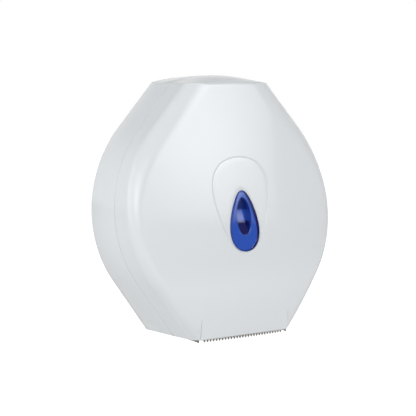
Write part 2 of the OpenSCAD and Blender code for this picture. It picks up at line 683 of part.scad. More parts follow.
bar_low_z = front_base_z - bar_drop - tooth_h;
teeth_n = floor(2 * teeth_half_w / tooth_pitch);
arm_low_z = front_base_z - 3;
arm_ahead = 6;              // distance of the arm's lower corner in front of the hinge axis
arm_under_rib = 2;          // how far the arm stays under the cover's rib
tooth_tip_w = 1.2;
notch_root_w = 1;
end_in = 0.5;               // width left at each end of the plain stretch beside the teeth
arm_front_d = outlet_front(bar_x) - fit_gap - eps;
module tear_bar() color(steel) difference() {
    w = bar_x + bar_t;
    union() {
        translate([0, 0, bar_low_z]) linear_extrude(tooth_h + bar_h) polygon(concat(
            [for (i = [0:curve_n]) let (x = mix(-w, w, i / curve_n))
                [x, -outlet_front(x) + fit_gap]],
            [for (i = [curve_n:-1:0]) let (x = mix(-w, w, i / curve_n))
                [x, -outlet_front(x) + fit_gap + bar_t]]));
        both_sides() cross_plate(bar_x, bar_x + bar_t) union() {
            translate([hinge_d, hinge_z]) circle(r = hinge_eye_r);
            polygon([[hinge_d, hinge_z - hinge_eye_r], [hinge_d + arm_ahead, arm_low_z],
                [arm_front_d, arm_low_z], [arm_front_d, rib_top_z - arm_under_rib],
                [hinge_d, hinge_z + hinge_eye_r]]);
        }
    }
    // the notches between the teeth
    for (i = [0:teeth_n]) translate([(i - teeth_n / 2) * tooth_pitch, 0, bar_low_z])
        rotate([90, 0, 0]) linear_extrude(depth_lower)
            polygon([[(tooth_tip_w - tooth_pitch) / 2, -eps], [(tooth_pitch - tooth_tip_w) / 2, -eps],
                [notch_root_w / 2, tooth_h], [-notch_root_w / 2, tooth_h]]);
    both_sides() translate([teeth_half_w + end_in, -depth_lower, bar_low_z - eps])
        cube([bar_x - teeth_half_w - 2 * end_in, depth_lower, tooth_h]);
    bar_screw_places() towards_wall() passing_hole(bar_t);
    both_sides() cross_rod(bar_x - cut, bar_x + bar_t + cut, hinge_d, hinge_z, hinge_pin_r + hole_gap);
}

module tear_bar_screws() color(steel)
    bar_screw_places() translate([0, bar_t + fit_gap, 0]) towards_front()
        pan_screw(small_screw_r, bar_t + fit_gap + screw_bite, head_r, head_h);

// ---- hinge pins ----

pin_head_t = 2;
pin_head_rim = 1.5;         // width of the pin's head outside its shank
pin_end_in = 0.5;           // how far the pin's end lies inside the cover's rib
module hinge_pin() {
    cross_rod(lug_x - lug_t - pin_head_t, lug_x - lug_t, hinge_d, hinge_z, hinge_pin_r + pin_head_rim);
    cross_rod(lug_x - lug_t - eps, rib_x + rib_t - pin_end_in, hinge_d, hinge_z, hinge_pin_r);
}
module hinge_pin_left() color(steel) mirror([1, 0, 0]) hinge_pin();
module hinge_pin_right() color(steel) hinge_pin();

// ---- spindle and roll hub ----

flange_back_d = back_wall + casing_boss_t;
flange_front_d = flange_back_d + post_flange_t;
post_end_d = flange_front_d + post_len;
spindle_screw_len = 6;
spindle_screw_sunk = 0.2;   // how far the heads lie under the flange's face
spindle_screw_tip = flange_front_d - spindle_screw_len - spindle_screw_sunk;
spindle_screw_head_r = 3.4;
spindle_screw_head_h = 1.9;
module spindle_screw_places() {
    for (a = [45:90:315]) translate([spindle_screw_pcr * cos(a), 0, -spindle_z + spindle_screw_pcr * sin(a)])
        children();
}
module spindle_post() color(hub_grey) difference() {
    union() {
        rod(0, -spindle_z, flange_back_d, flange_front_d, post_flange_r);
        rod(0, -spindle_z, flange_front_d - eps, post_end_d, post_r);
    }
    spindle_screw_places() {
        rod(0, 0, flange_back_d - cut, flange_front_d + cut, pilot_r + hole_gap);
        translate([0, -flange_front_d - eps, 0]) towards_wall()
            cylinder(r1 = spindle_screw_head_r + hole_gap, r2 = pilot_r + hole_gap, h = spindle_screw_head_h);
    }
    rod(0, -spindle_z, post_end_d - cap_screw_len, post_end_d + cut, cap_screw_r + screw_gap);
}
module spindle_screws() color(steel) spindle_screw_places()
    translate([0, -flange_front_d + spindle_screw_sunk, 0]) towards_wall() {
        cylinder(r1 = spindle_screw_head_r, r2 = small_screw_r, h = spindle_screw_head_h);
        cylinder(r = small_screw_r, h = spindle_screw_len);
    }

end_play = 0.5;             // play of the hub at each end
hub_back_d = flange_front_d + end_play;
hub_front_d = post_end_d - end_play;
hub_bore_r = post_r + running_gap;
rib_count = 6;
rib_w = 3;
module ribs(inner_r, outer_r, d1, d2) {
    for (i = [0:rib_count - 1]) translate([0, 0, -spindle_z]) rotate([0, i * 360 / rib_count, 0])
        translate([-rib_w / 2, -d2, inner_r]) cube([rib_w, d2 - d1, outer_r - inner_r]);
}
module tube(d1, d2, outer_r, inner_r) {
    difference() {
        rod(0, -spindle_z, d1, d2, outer_r);
        rod(0, -spindle_z, d1 - cut, d2 + cut, inner_r);
    }
}
hub_wall = 3;
hub_rib_in = 4;             // how far the ribs stop short of the hub's front end
brake_front_d = flange_front_d + brake_t;
brake_room = 1;             // radial room round the brake ring
module roll_hub() color(hub_grey) {
    difference() {
        union() {
            rod(0, -spindle_z, hub_back_d, hub_front_d, hub_r);
            rod(0, -spindle_z, hub_back_d, hub_back_d + hub_collar_t, hub_collar_r);
            ribs(hub_r - lap, hub_rib_r, hub_back_d + hub_collar_t - eps, hub_front_d - hub_rib_in);
        }
        rod(0, -spindle_z, hub_back_d - cut, hub_front_d + cut, hub_bore_r);
        rod(0, -spindle_z, hub_back_d - cut, brake_front_d + fit_gap, brake_r + brake_room);
        // the hollow between the barrel and the bearing sleeve, open to the front
        difference() {
            rod(0, -spindle_z, brake_front_d + hub_wall, hub_front_d + cut, hub_r - hub_wall);
            rod(0, -spindle_z, hub_back_d, hub_front_d + 2 * cut, hub_bore_r + hub_wall);
        }
    }
}
module brake_ring() color(felt_black) tube(flange_front_d, brake_front_d, brake_r, post_r + hole_gap);

adaptor_back_d = hub_back_d + hub_collar_t + fit_gap;
module core_adaptor() color(part_white) {
    tube(adaptor_back_d, adaptor_back_d + adaptor_len, adaptor_r, adaptor_r - adaptor_wall);
    ribs(hub_rib_r + fit_gap, adaptor_r - adaptor_wall / 2, adaptor_back_d, adaptor_back_d + adaptor_len);
}

cap_screw_r = 2.4;
cap_screw_len = 22;
cap_head_r = 4.6;
cap_head_h = 2.8;
cap_back_d = post_end_d + seat_gap;
module spindle_cap() color(part_white)
    tube(cap_back_d, cap_back_d + cap_t, cap_r, cap_screw_r + hole_gap);
module cap_screw() color(steel)
    translate([0, -cap_back_d - cap_t - seat_gap, -spindle_z]) towards_wall()
        pan_screw(cap_screw_r, cap_screw_len, cap_head_r, cap_head_h);

// ---- lock ----

lock_play = 0.2;            // room between the lock's moving and fixed parts
nut_t = 4;
stub_r = 4;
key_slot = [1.8, 8, 7];     // width, length and depth of the key slot
cam_screw_r = 1.5;
cam_screw_len = 8;
cam_head_r = 5;
cam_head_h = 2.2;
cam_boss_r = 7;
finger_w = 8;
finger_h = 6;
lock_low_z = lock_seat_z - lock_sleeve_len;
cam_top_z = lock_low_z - lock_play;
cam_low_z = cam_top_z - cam_t;
module lock_body() color(steel) lock_axis() difference() {
    union() {
        translate([0, 0, lock_seat_z]) cylinder(r = lock_flange_r, h = lock_flange_t);
        translate([0, 0, lock_low_z]) cylinder(r = lock_sleeve_r, h = lock_sleeve_len + eps);
    }
    translate([0, 0, lock_low_z - cut])
        cylinder(r = barrel_r + running_gap, h = lock_sleeve_len + lock_flange_t + 2 * cut);
}
module lock_nut() color(steel) lock_axis() translate([0, 0, lock_boss_z - lock_play - nut_t]) difference() {
    cylinder(r = lock_nut_af / sqrt(3), h = nut_t, $fn = 6);
    translate([0, 0, -cut]) cylinder(r = lock_sleeve_r + lock_play, h = nut_t + 2 * cut);
}
module lock_barrel() color(hub_grey) lock_axis() difference() {
    union() {
        translate([0, 0, lock_low_z]) cylinder(r = barrel_r, h = lock_top_z - lock_play - lock_low_z);
        translate([0, 0, cam_low_z + seat_gap]) cylinder(r = stub_r, h = lock_low_z - cam_low_z);
    }
    translate([-key_slot[0] / 2, -key_slot[1] / 2, lock_top_z - key_slot[2]])
        cube([key_slot[0], key_slot[1], key_slot[2] + cut]);
    translate([0, 0, cam_low_z - cut]) cylinder(r = cam_screw_r + screw_gap, h = cam_screw_len + 2 * cut);
}
module lock_cam() color(steel) lock_axis() difference() {
    union() {
        translate([0, 0, cam_low_z]) linear_extrude(cam_t) hull() {
            circle(r = cam_boss_r, $fn = 32);
            translate([cam_reach - finger_w / 2, -finger_w / 2]) square([finger_w / 2, finger_w]);
        }
        translate([cam_reach - finger_t, -finger_w / 2, cam_low_z])
            cube([finger_t, finger_w, cam_t + finger_h]);
    }
    translate([0, 0, cam_low_z - cut]) cylinder(r = stub_r + screw_gap, h = cam_t + 2 * cut);
}
module cam_screw() color(steel) lock_axis() translate([0, 0, cam_low_z - seat_gap])
    pan_screw(cam_screw_r, cam_screw_len, cam_head_r, cam_head_h);

// the lip hangs behind the cam's finger when the lock is turned
hook_gap = 1.5;             // room round the finger at the strike's lip
strike_lip_front_d = lock_depth + cam_reach - finger_t - hook_gap;
strike_lip_w = 10;
module strike_plate() color(steel) difference() {
    union() {
        translate([-strike_half_w, -strike_pad_d - strike_pad_len, strike_z])
            cube([2 * strike_half_w, strike_pad_len, strike_t]);
        translate([-strike_lip_w / 2, -strike_pad_d - lap, strike_z])
            cube([strike_lip_w, strike_pad_d + lap - strike_lip_front_d + strike_t, strike_t]);
        translate([-strike_lip_w / 2, -strike_lip_front_d, cam_top_z + hook_gap])
            cube([strike_lip_w, strike_t, strike_z - cam_top_z - hook_gap + lap]);
    }
    for (x = [-1, 1]) translate([x * strike_screw_x, -strike_screw_d, strike_z]) passing_hole(strike_t);
}
module strike_screws() color(steel)
    for (x = [-1, 1]) translate([x * strike_screw_x, -strike_screw_d, strike_z - seat_gap])
        pan_screw(small_screw_r, strike_t + seat_gap + screw_bite, head_r, head_h);

rear_casing();
front_cover();
sight_window();
window_frame();
window_screws();
tear_bar();
tear_bar_screws();
hinge_pin_left();
hinge_pin_right();
spindle_post();
spindle_screws();
brake_ring();
roll_hub();
core_adaptor();
spindle_cap();
cap_screw();
lock_body();
lock_nut();
lock_barrel();
lock_cam();
cam_screw();
strike_plate();
strike_screws();
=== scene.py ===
import json
from math import acos, asin, atan2, cos, hypot, pi, radians, sin, sqrt

import bmesh
import bpy
from mathutils import Matrix, Vector


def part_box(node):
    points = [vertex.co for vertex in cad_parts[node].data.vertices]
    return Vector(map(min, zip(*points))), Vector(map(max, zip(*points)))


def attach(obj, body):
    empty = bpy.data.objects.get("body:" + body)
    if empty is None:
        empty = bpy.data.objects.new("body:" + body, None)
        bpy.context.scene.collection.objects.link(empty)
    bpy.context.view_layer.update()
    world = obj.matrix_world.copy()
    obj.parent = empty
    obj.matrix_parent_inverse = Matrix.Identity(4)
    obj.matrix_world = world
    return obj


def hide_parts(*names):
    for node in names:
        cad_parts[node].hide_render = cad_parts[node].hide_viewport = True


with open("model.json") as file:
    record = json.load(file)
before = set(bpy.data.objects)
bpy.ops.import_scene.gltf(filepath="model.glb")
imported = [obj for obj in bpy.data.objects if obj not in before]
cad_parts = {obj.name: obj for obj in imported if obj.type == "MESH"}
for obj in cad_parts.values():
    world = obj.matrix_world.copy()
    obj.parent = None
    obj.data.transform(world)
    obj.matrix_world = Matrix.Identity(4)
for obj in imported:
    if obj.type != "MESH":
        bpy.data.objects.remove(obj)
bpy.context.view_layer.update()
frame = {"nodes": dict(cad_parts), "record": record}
scene = bpy.context.scene
scene.view_settings.view_transform = "Standard"
print("frame loaded:", len(frame["nodes"]), "nodes")

# small helpers

mm = 0.001
past = 1 * mm      # how far a tool or a foot reaches past the face it starts from
tiny = 1e-6        # for comparing places
bend = 0.3         # the middle point of a two-step rounding, as a share of its radius
ahead, across, upwards = (0, -1, 0), (1, 0, 0), (0, 0, 1)   # away from the wall, along X, along Z


def mix(a, b, t):
    return a + (b - a) * t


def clamp(t):
    return min(1.0, max(0.0, t))


def smooth(t):   # 0 to 1 with a gentle start and end
    t = clamp(t)
    return t * t * (3 - 2 * t)


def direction(a):
    return Vector((cos(a), sin(a)))


def at(q, depth):   # a solid point from a plan point and a depth in front of the wall
    return Vector((q[0], -depth, q[1]))


def makeObject(bm, name):
    mesh = bpy.data.meshes.new(name)
    bm.to_mesh(mesh)
    bm.free()
    obj = bpy.data.objects.new(name, mesh)
    scene.collection.objects.link(obj)
    return obj


def addPiece(obj, body, material, standsFor, sharpDegrees):
    obj.data.materials.clear()
    obj.data.materials.append(material)
    obj.data.shade_smooth()
    obj.data.set_sharp_from_angle(angle=radians(sharpDegrees))
    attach(obj, body)
    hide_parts(standsFor)
    return obj


def startLoop(bm, places):   # a circle whose points go to the given places
    ring = bmesh.ops.create_circle(bm, cap_ends=False, segments=len(places), radius=1)["verts"]
    for v, place in zip(ring, places):
        v.co = place
    return ring


def loopEdges(ring):
    return [next(e for e in v.link_edges if e.other_vert(v) is ring[(i + 1) % len(ring)])
            for i, v in enumerate(ring)]


def nextLoop(bm, ring, places):   # extrudes a loop and puts its new points in place
    made = bmesh.ops.extrude_edge_only(bm, edges=loopEdges(ring))["geom"]
    fresh = {v for v in made if isinstance(v, bmesh.types.BMVert)}
    moved = [next(e.other_vert(v) for e in v.link_edges if e.other_vert(v) in fresh) for v in ring]
    for v, place in zip(moved, places):
        v.co = place
    return moved


def shellFrom(rings, closed, paintedShades=None):   # loops extruded in turn, joined round or capped at both ends
    bm = bmesh.new()
    # optional per-point amounts of painted shade and painted reflection, kept as a point attribute for the
    # window's material
    layer = bm.verts.layers.float.new("paintedShade") if paintedShades else None
    first = ring = startLoop(bm, rings[0])
    for i, places in enumerate(rings):
        ring = nextLoop(bm, ring, places) if i else first
        for v, paintedShade in zip(ring, paintedShades[i] if paintedShades else ()):
            v[layer] = paintedShade
    if closed:
        bmesh.ops.bridge_loops(bm, edges=loopEdges(first) + loopEdges(ring))
    else:
        bmesh.ops.contextual_create(bm, geom=loopEdges(first))
        bmesh.ops.contextual_create(bm, geom=loopEdges(ring))
    bmesh.ops.recalc_face_normals(bm, faces=bm.faces)
    return bm


def addRod(bm, base, axis, r, length, segments=48):   # a rod from base along axis
    turn = Vector(axis).to_track_quat("Z", "Y").to_matrix().to_4x4()
    place = Matrix.Translation(Vector(base) + Vector(axis) * length / 2) @ turn
    bmesh.ops.create_cone(bm, cap_ends=True, cap_tris=False, segments=segments, radius1=r, radius2=r,
                          depth=length, matrix=place)


def addBlock(bm, low, high):
    low, high = Vector(low), Vector(high)
    size = Matrix.Diagonal((*(high - low), 1))
    bmesh.ops.create_cube(bm, size=1, matrix=Matrix.Translation((low + high) / 2) @ size)


def addPlate(bm, points, offset):   # a flat outline pushed along one direction
    face = bm.faces.new([bm.verts.new(p) for p in points])
    made = bmesh.ops.extrude_face_region(bm, geom=[face])["geom"]
    bmesh.ops.translate(bm, verts=[v for v in made if isinstance(v, bmesh.types.BMVert)], vec=offset)


def combine(obj, bm, operation):   # adds or cuts the shapes in bm
    bmesh.ops.recalc_face_normals(bm, faces=bm.faces)
    tool = makeObject(bm, obj.name + ".tool")
    step = obj.modifiers.new(operation.lower(), "BOOLEAN")
    step.operation = operation
    step.solver = "EXACT"
    step.object = tool
    shaped = obj.evaluated_get(bpy.context.evaluated_depsgraph_get())
    mesh = bpy.data.meshes.new_from_object(shaped)
    obj.modifiers.clear()
    obj.data = mesh
    bpy.data.objects.remove(tool)


# outline and depths of the body

# skin is how far the finished surfaces stay inside the CAD's
body = {
    "roundR": 177.5 * mm, "topHalfW": 76.5 * mm, "topCornerZ": 182 * mm, "topCrown": 8.5 * mm,
    "seamCrown": 10.8 * mm, "frontCrown": 3 * mm, "bottomHalfW": 87.5 * mm, "bottomZ": 183 * mm,
    "cornerR": 5 * mm, "sideTaper": 4.8 * mm, "topTaper": 1.5 * mm, "depthBottom": 131 * mm,
    "depthLower": 136.5 * mm, "depthUpper": 109.5 * mm, "depthTop": 95.5 * mm, "faceDome": 20 * mm,
    "edgeSideR": 15 * mm, "edgeTopR": 6 * mm, "edgeBottomR": 3.5 * mm, "edgeWiden": 16 * mm,
    "widenLowZ": 5 * mm, "widenHighZ": 125 * mm, "seamBottom": 76 * mm, "seamTop": 49 * mm,
    "seamGap": 0.6 * mm, "skin": 0.06 * mm, "crownSteps": 36, "cornerSteps": 8, "flankSteps": 8,
    "roundSteps": 44, "baseSteps": 14,
}


def flankAngle(w, z):
    return atan2(z, w) - acos(body["roundR"] / hypot(w, z))


topFlankA = flankAngle(body["topHalfW"], body["topCornerZ"])
bottomFlankA = -flankAngle(body["bottomHalfW"], body["bottomZ"])


def meet(a1, d1, a2, d2):   # centre of a corner between two edges given by normal angle and distance
    return Vector((d1 * sin(a2) - d2 * sin(a1), d2 * cos(a1) - d1 * cos(a2))) / sin(a2 - a1)


def outline(side, top, base, crown):
    r, cornerR = body["roundR"] - side, body["cornerR"]
    topZ, baseZ = body["topCornerZ"] - top, body["bottomZ"] - base
    w = (r - topZ * sin(topFlankA)) / cos(topFlankA)
    crownR = (w * w + crown * crown) / (2 * crown)
    crownC = Vector((0, topZ + crown - crownR))
    edgeA = pi / 2 - asin(w / crownR)
    topC = meet(topFlankA, r - cornerR, edgeA, Vector((w, topZ)) @ direction(edgeA) - cornerR)
    baseC = meet(bottomFlankA, r - cornerR, -pi / 2, baseZ - cornerR)
    startA = pi / 2 - asin((topC[0] + cornerR * cos(edgeA)) / crownR)
    flankTop = topC + cornerR * direction(topFlankA)
    flankBase = baseC + cornerR * direction(bottomFlankA)
    topRound, baseRound = r * direction(topFlankA), r * direction(bottomFlankA)
    crownN, cornerN, flankN = body["crownSteps"], body["cornerSteps"], body["flankSteps"]
    roundN, baseN = body["roundSteps"], body["baseSteps"]
    half = [crownC + crownR * direction(mix(pi / 2, startA, i / crownN)) for i in range(crownN)]
    half += [topC + cornerR * direction(mix(edgeA, topFlankA, i / cornerN)) for i in range(cornerN + 1)]
    half += [mix(flankTop, topRound, i / flankN) for i in range(1, flankN)]
    half += [r * direction(mix(topFlankA, bottomFlankA, i / roundN)) for i in range(roundN + 1)]
    half += [mix(baseRound, flankBase, i / flankN) for i in range(1, flankN)]
    half += [baseC + cornerR * direction(mix(bottomFlankA, -pi / 2, i / cornerN)) for i in range(cornerN + 1)]
    half += [Vector((baseC[0] * (1 - i / baseN), -baseZ)) for i in range(1, baseN + 1)]
    return half + [Vector((-p[0], p[1])) for p in reversed(half[1:-1])]


def rise(z):
    return (z + body["bottomZ"]) / (body["topCornerZ"] + body["bottomZ"])


def midDepth(z):   # one smooth curve through the depths at 0, a quarter, three quarters and all of the height
    u = rise(z)
    return (body["depthBottom"] * (u - 0.25) * (u - 0.75) * (1 - u) * 16 / 3
            + body["depthLower"] * u * (u - 0.75) * (u - 1) * 32 / 3
            + body["depthUpper"] * u * (u - 0.25) * (1 - u) * 32 / 3
            + body["depthTop"] * u * (u - 0.25) * (u - 0.75) * 16 / 3)


def faceDepth(x, z):
    return midDepth(z) - body["faceDome"] * (x / body["roundR"]) ** 2


def roundDrop(dist, width, height):   # an elliptical rounding, high at its outer end and flat at width
    return 0 if dist >= width else height * (1 - sqrt(max(0, 1 - (1 - max(0, dist) / width) ** 2)))


def sideRoundWidth(z):   # the side rounding widens towards the top
    share = smooth((z - body["widenLowZ"]) / (body["widenHighZ"] - body["widenLowZ"]))
    return body["edgeSideR"] + body["edgeWiden"] * share


def sideReach(q):
    p = Vector((abs(q[0]), q[1]))
    a = atan2(p[1], p[0])
    if a > topFlankA:
        return p @ direction(topFlankA)
    return p @ direction(bottomFlankA) if a < bottomFlankA else p.length


def skinDepth(q, t):   # depth of the cover's surface, t inside its outer face
    topEdge = body["topCornerZ"] - body["topTaper"]
    topEdge += body["frontCrown"] * (1 - (q[0] / body["topHalfW"]) ** 2)
    sideR, topR, baseR = body["edgeSideR"] - t, body["edgeTopR"] - t, body["edgeBottomR"] - t
    return faceDepth(q[0], q[1]) - t - max(
        roundDrop(body["roundR"] - body["sideTaper"] - t - sideReach(q), sideRoundWidth(q[1]) - t, sideR),
        roundDrop(topEdge - t - q[1], topR, topR),
        roundDrop(body["bottomZ"] - body["sideTaper"] - t + q[1], baseR, baseR))


def drawIn(d):
    return body["sideTaper"] * d / body["depthLower"]


def topDrawIn(d):
    return body["topTaper"] * d / body["depthTop"]


def crownAt(d):   # straight to the parting line, then falling ever faster to the front
    seamD = body["seamTop"]
    if d < seamD:
        return mix(body["topCrown"], body["seamCrown"], d / seamD)
    return mix(body["seamCrown"], body["frontCrown"], ((d - seamD) / (body["depthTop"] - seamD)) ** 2)


def outlineAt(t, sideD, topD):
    return outline(drawIn(sideD) + t, topDrawIn(topD) + t, drawIn(sideD) + t, crownAt(topD))


def flatRing(t, d):
    return [at(q, d) for q in outlineAt(t, d, d)]


def seamRing(t, lift, extra=lambda z: 0):
    return [at(q, mix(body["seamBottom"], body["seamTop"], rise(q[1])) + lift + extra(q[1]))
            for q in outlineAt(t, body["seamBottom"], body["seamTop"] + lift)]


coverBaseZ = -body["bottomZ"] + drawIn(body["seamBottom"])
frontBaseZ = -body["bottomZ"] + drawIn(body["depthBottom"])

# shader node groups


def newGroup(name, inputs, outputs):
    group = bpy.data.node_groups.new(name, "ShaderNodeTree")
    for label, kind, value in inputs:
        socket = group.interface.new_socket(label, in_out="INPUT", socket_type=kind)
        socket.default_value = value
    for label, kind in outputs:
        group.interface.new_socket(label, in_out="OUTPUT", socket_type=kind)
    return group, group.nodes.new("NodeGroupInput"), group.nodes.new("NodeGroupOutput")


def addNode(tree, kind, values=(), **settings):
    node = tree.nodes.new(kind)
    for key, value in settings.items():
        setattr(node, key, value)
    for key, value in dict(values).items():
        node.inputs[key].default_value = value
    return node


def swing(group, noise, amount):   # a noise moved to vary about zero, times an amount
    centred = addNode(group, "ShaderNodeMath", {1: 0.5}, operation="SUBTRACT")
    scaled = addNode(group, "ShaderNodeMath", operation="MULTIPLY")
    group.links.new(noise, centred.inputs[0])
    group.links.new(centred.outputs[0], scaled.inputs[0])
    group.links.new(amount, scaled.inputs[1])
    return scaled.outputs[0]


def toned(group, color, change):   # a colour made lighter and darker by the change
    value = addNode(group, "ShaderNodeMath", {0: 1.0}, operation="ADD")
    tone = addNode(group, "ShaderNodeHueSaturation")
    group.links.new(change, value.inputs[1])
    group.links.new(value.outputs[0], tone.inputs["Value"])
    group.links.new(color, tone.inputs["Color"])
    return tone.outputs["Color"]


def buildMouldGroup():   # moulded plastic: faint tone drift, handling marks, fine surface texture
    group, given, out = newGroup(
        "mouldedSurface",
        [("Color", "NodeSocketColor", (0.8, 0.8, 0.8, 1)), ("Roughness", "NodeSocketFloat", 0.3),
         ("Tone Drift", "NodeSocketFloat", 0.02), ("Marks", "NodeSocketFloat", 0.05),
         ("Texture Scale", "NodeSocketFloat", 600)],
        [("Color", "NodeSocketColor"), ("Roughness", "NodeSocketFloat"), ("Height", "NodeSocketFloat")])
    link = group.links.new
    coords = addNode(group, "ShaderNodeTexCoord")
    drift = addNode(group, "ShaderNodeTexNoise", {"Scale": 9, "Detail": 3})
    marks = addNode(group, "ShaderNodeTexNoise", {"Scale": 42, "Detail": 6, "Roughness": 0.65})
    texture = addNode(group, "ShaderNodeTexNoise", {"Detail": 2})
    for tex in (drift, marks, texture):
        link(coords.outputs["Object"], tex.inputs["Vector"])
    link(given.outputs["Texture Scale"], texture.inputs["Scale"])
    change = swing(group, drift.outputs["Fac"], given.outputs["Tone Drift"])
    rubbed = addNode(group, "ShaderNodeMapRange", {"From Min": 0.45, "From Max": 0.75})
    rubAmount = addNode(group, "ShaderNodeMath", operation="MULTIPLY")
    rough = addNode(group, "ShaderNodeMath", operation="ADD")
    link(marks.outputs["Fac"], rubbed.inputs["Value"])
    link(rubbed.outputs["Result"], rubAmount.inputs[0])
    link(given.outputs["Marks"], rubAmount.inputs[1])
    link(rubAmount.outputs[0], rough.inputs[0])
    link(given.outputs["Roughness"], rough.inputs[1])
    link(toned(group, given.outputs["Color"], change), out.inputs["Color"])
    link(rough.outputs[0], out.inputs["Roughness"])
    link(texture.outputs["Fac"], out.inputs["Height"])
    return group


def buildBrushedGroup():   # rolled and brushed sheet metal, its grain along X
    group, given, out = newGroup(
        "brushedMetal",
        [("Color", "NodeSocketColor", (0.5, 0.5, 0.5, 1)), ("Roughness", "NodeSocketFloat", 0.3),
         ("Grain", "NodeSocketFloat", 0.15), ("Stretch", "NodeSocketVector", (30, 900, 900))],
        [("Color", "NodeSocketColor"), ("Roughness", "NodeSocketFloat"), ("Height", "NodeSocketFloat")])
    link = group.links.new
    coords = addNode(group, "ShaderNodeTexCoord")
    stretch = addNode(group, "ShaderNodeMapping")
    grain = addNode(group, "ShaderNodeTexNoise", {"Scale": 1.0, "Detail": 4})
    rough = addNode(group, "ShaderNodeMath", operation="ADD")
    link(coords.outputs["Object"], stretch.inputs["Vector"])
    link(given.outputs["Stretch"], stretch.inputs["Scale"])
    link(stretch.outputs["Vector"], grain.inputs["Vector"])
    change = swing(group, grain.outputs["Fac"], given.outputs["Grain"])
    link(change, rough.inputs[0])
    link(given.outputs["Roughness"], rough.inputs[1])
    link(toned(group, given.outputs["Color"], change), out.inputs["Color"])
    link(rough.outputs[0], out.inputs["Roughness"])
    link(grain.outputs["Fac"], out.inputs["Height"])
    return group


mouldGroup = buildMouldGroup()
brushedGroup = buildBrushedGroup()

# materials


def newMaterial(name, group, values, bumpDistance, **plain):   # plain: what the shader itself is given
    material = bpy.data.materials.new(name)
    material.use_nodes = True
    tree = material.node_tree
    shader = tree.nodes["Principled BSDF"]
    for key, value in plain.items():
        shader.inputs[key.replace("_", " ")].default_value = value
    surface = addNode(tree, "ShaderNodeGroup", node_tree=group)
    for key, value in values.items():
        surface.inputs[key].default_value = value
    bump = addNode(tree, "ShaderNodeBump", {"Strength": 0.5, "Distance": bumpDistance})
    tree.links.new(surface.outputs["Color"], shader.inputs["Base Color"])
    tree.links.new(surface.outputs["Roughness"], shader.inputs["Roughness"])
    tree.links.new(surface.outputs["Height"], bump.inputs["Height"])
    tree.links.new(bump.outputs["Normal"], shader.inputs["Normal"])
    return material


shellWhite = newMaterial(
    "shellWhite", mouldGroup,
    {"Color": (0.785, 0.818, 0.838, 1), "Roughness": 0.07, "Tone Drift": 0.02, "Marks": 0.04,
     "Texture Scale": 260}, bumpDistance=0.01 * mm, IOR=1.5)
innerWhite = newMaterial(
    "innerWhite", mouldGroup,
    {"Color": (0.72, 0.73, 0.735, 1), "Roughness": 0.42, "Tone Drift": 0.05, "Marks": 0.1,
     "Texture Scale": 1200}, bumpDistance=0.04 * mm)
hubGrey = newMaterial(
    "hubGrey", mouldGroup,
    {"Color": (0.42, 0.44, 0.46, 1), "Roughness": 0.45, "Tone Drift": 0.08, "Marks": 0.12,
     "Texture Scale": 1400}, bumpDistance=0.05 * mm)
windowBlue = newMaterial(
    "windowBlue", mouldGroup,
    {"Roughness": 0.05, "Tone Drift": 0.04, "Marks": 0.03, "Texture Scale": 300},
    bumpDistance=0.005 * mm, IOR=1.52, Transmission_Weight=0.35)


def paintShadeByPlace(material, ownBlue, shadeBlue):   # the window's blue darkens towards the navy where its point attribute rises: painted shade and painted reflection
    tree = material.node_tree
    place = addNode(tree, "ShaderNodeAttribute", attribute_name="paintedShade")
    blend = addNode(tree, "ShaderNodeMix", data_type="RGBA")
    blend.inputs["A"].default_value = ownBlue
    blend.inputs["B"].default_value = shadeBlue
    surface = next(node for node in tree.nodes if node.type == "GROUP")
    tree.links.new(place.outputs["Fac"], blend.inputs["Factor"])
    tree.links.new(blend.outputs["Result"], surface.inputs["Color"])


# the plastic's own blue, and the navy painted where shade and reflections of dim surroundings darken the lens
paintShadeByPlace(windowBlue, ownBlue=(0.03, 0.13, 0.72, 1), shadeBlue=(0.003, 0.0015, 0.14, 1))
brakeFelt = newMaterial(
    "brakeFelt", mouldGroup,
    {"Color": (0.04, 0.04, 0.045, 1), "Roughness": 0.9, "Tone Drift": 0.6, "Marks": 0.05,
     "Texture Scale": 3200}, bumpDistance=0.3 * mm)
# a base colour far darker than bare steel: painted shade and painted reflection that make the tear bar's
# teeth read dark
barSteel = newMaterial(
    "barSteel", brushedGroup,
    {"Color": (0.20, 0.185, 0.165, 1), "Roughness": 0.4, "Grain": 0.3},
    bumpDistance=0.01 * mm, Metallic=1.0)
zincSteel = newMaterial(
    "zincSteel", brushedGroup,
    {"Color": (0.62, 0.62, 0.60, 1), "Roughness": 0.24, "Grain": 0.12, "Stretch": (700, 700, 700)},
    bumpDistance=0.01 * mm, Metallic=1.0)
print("materials built")

# front cover

cover = {
    "wall": 2.8 * mm, "rimT": 1.3 * mm, "tongueH": 5 * mm, "tongueEndGap": 1 * mm, "lip": 0.4 * mm,
    "stepsOut": (8, 10, 30, 6), "stepsIn": (4, 5, 8, 3),   # on the wall, the rounding, the face, the recess
    "eggHalfH": 68.7 * mm, "eggZ": 8.7 * mm, "eggHalfW": 46 * mm, "eggWiden": 15 * mm,
    "eggFill": 7 * mm, "eggStep": 1.2 * mm,
    "panelHalfW": 74 * mm, "panelH": 31 * mm, "panelFlat": 0.885, "panelEdge": 0.25 * mm,
    "panelFade": 1.3, "panelLine": 0.8 * mm, "lineFade": 6, "outletPast": 10 * mm, "outletUp": 6 * mm,
    "outletInset": 0.01 * mm, "outletSteps": 24,
}
lineCuts = (0.1, 0.3, 0.7, 0.9)   # across the fine groove at each side of the tear panel
dropShape = {"halfH": 42.8 * mm, "z": -13.8 * mm, "halfW": 23 * mm, "narrow": 8 * mm, "fill": 1 * mm}
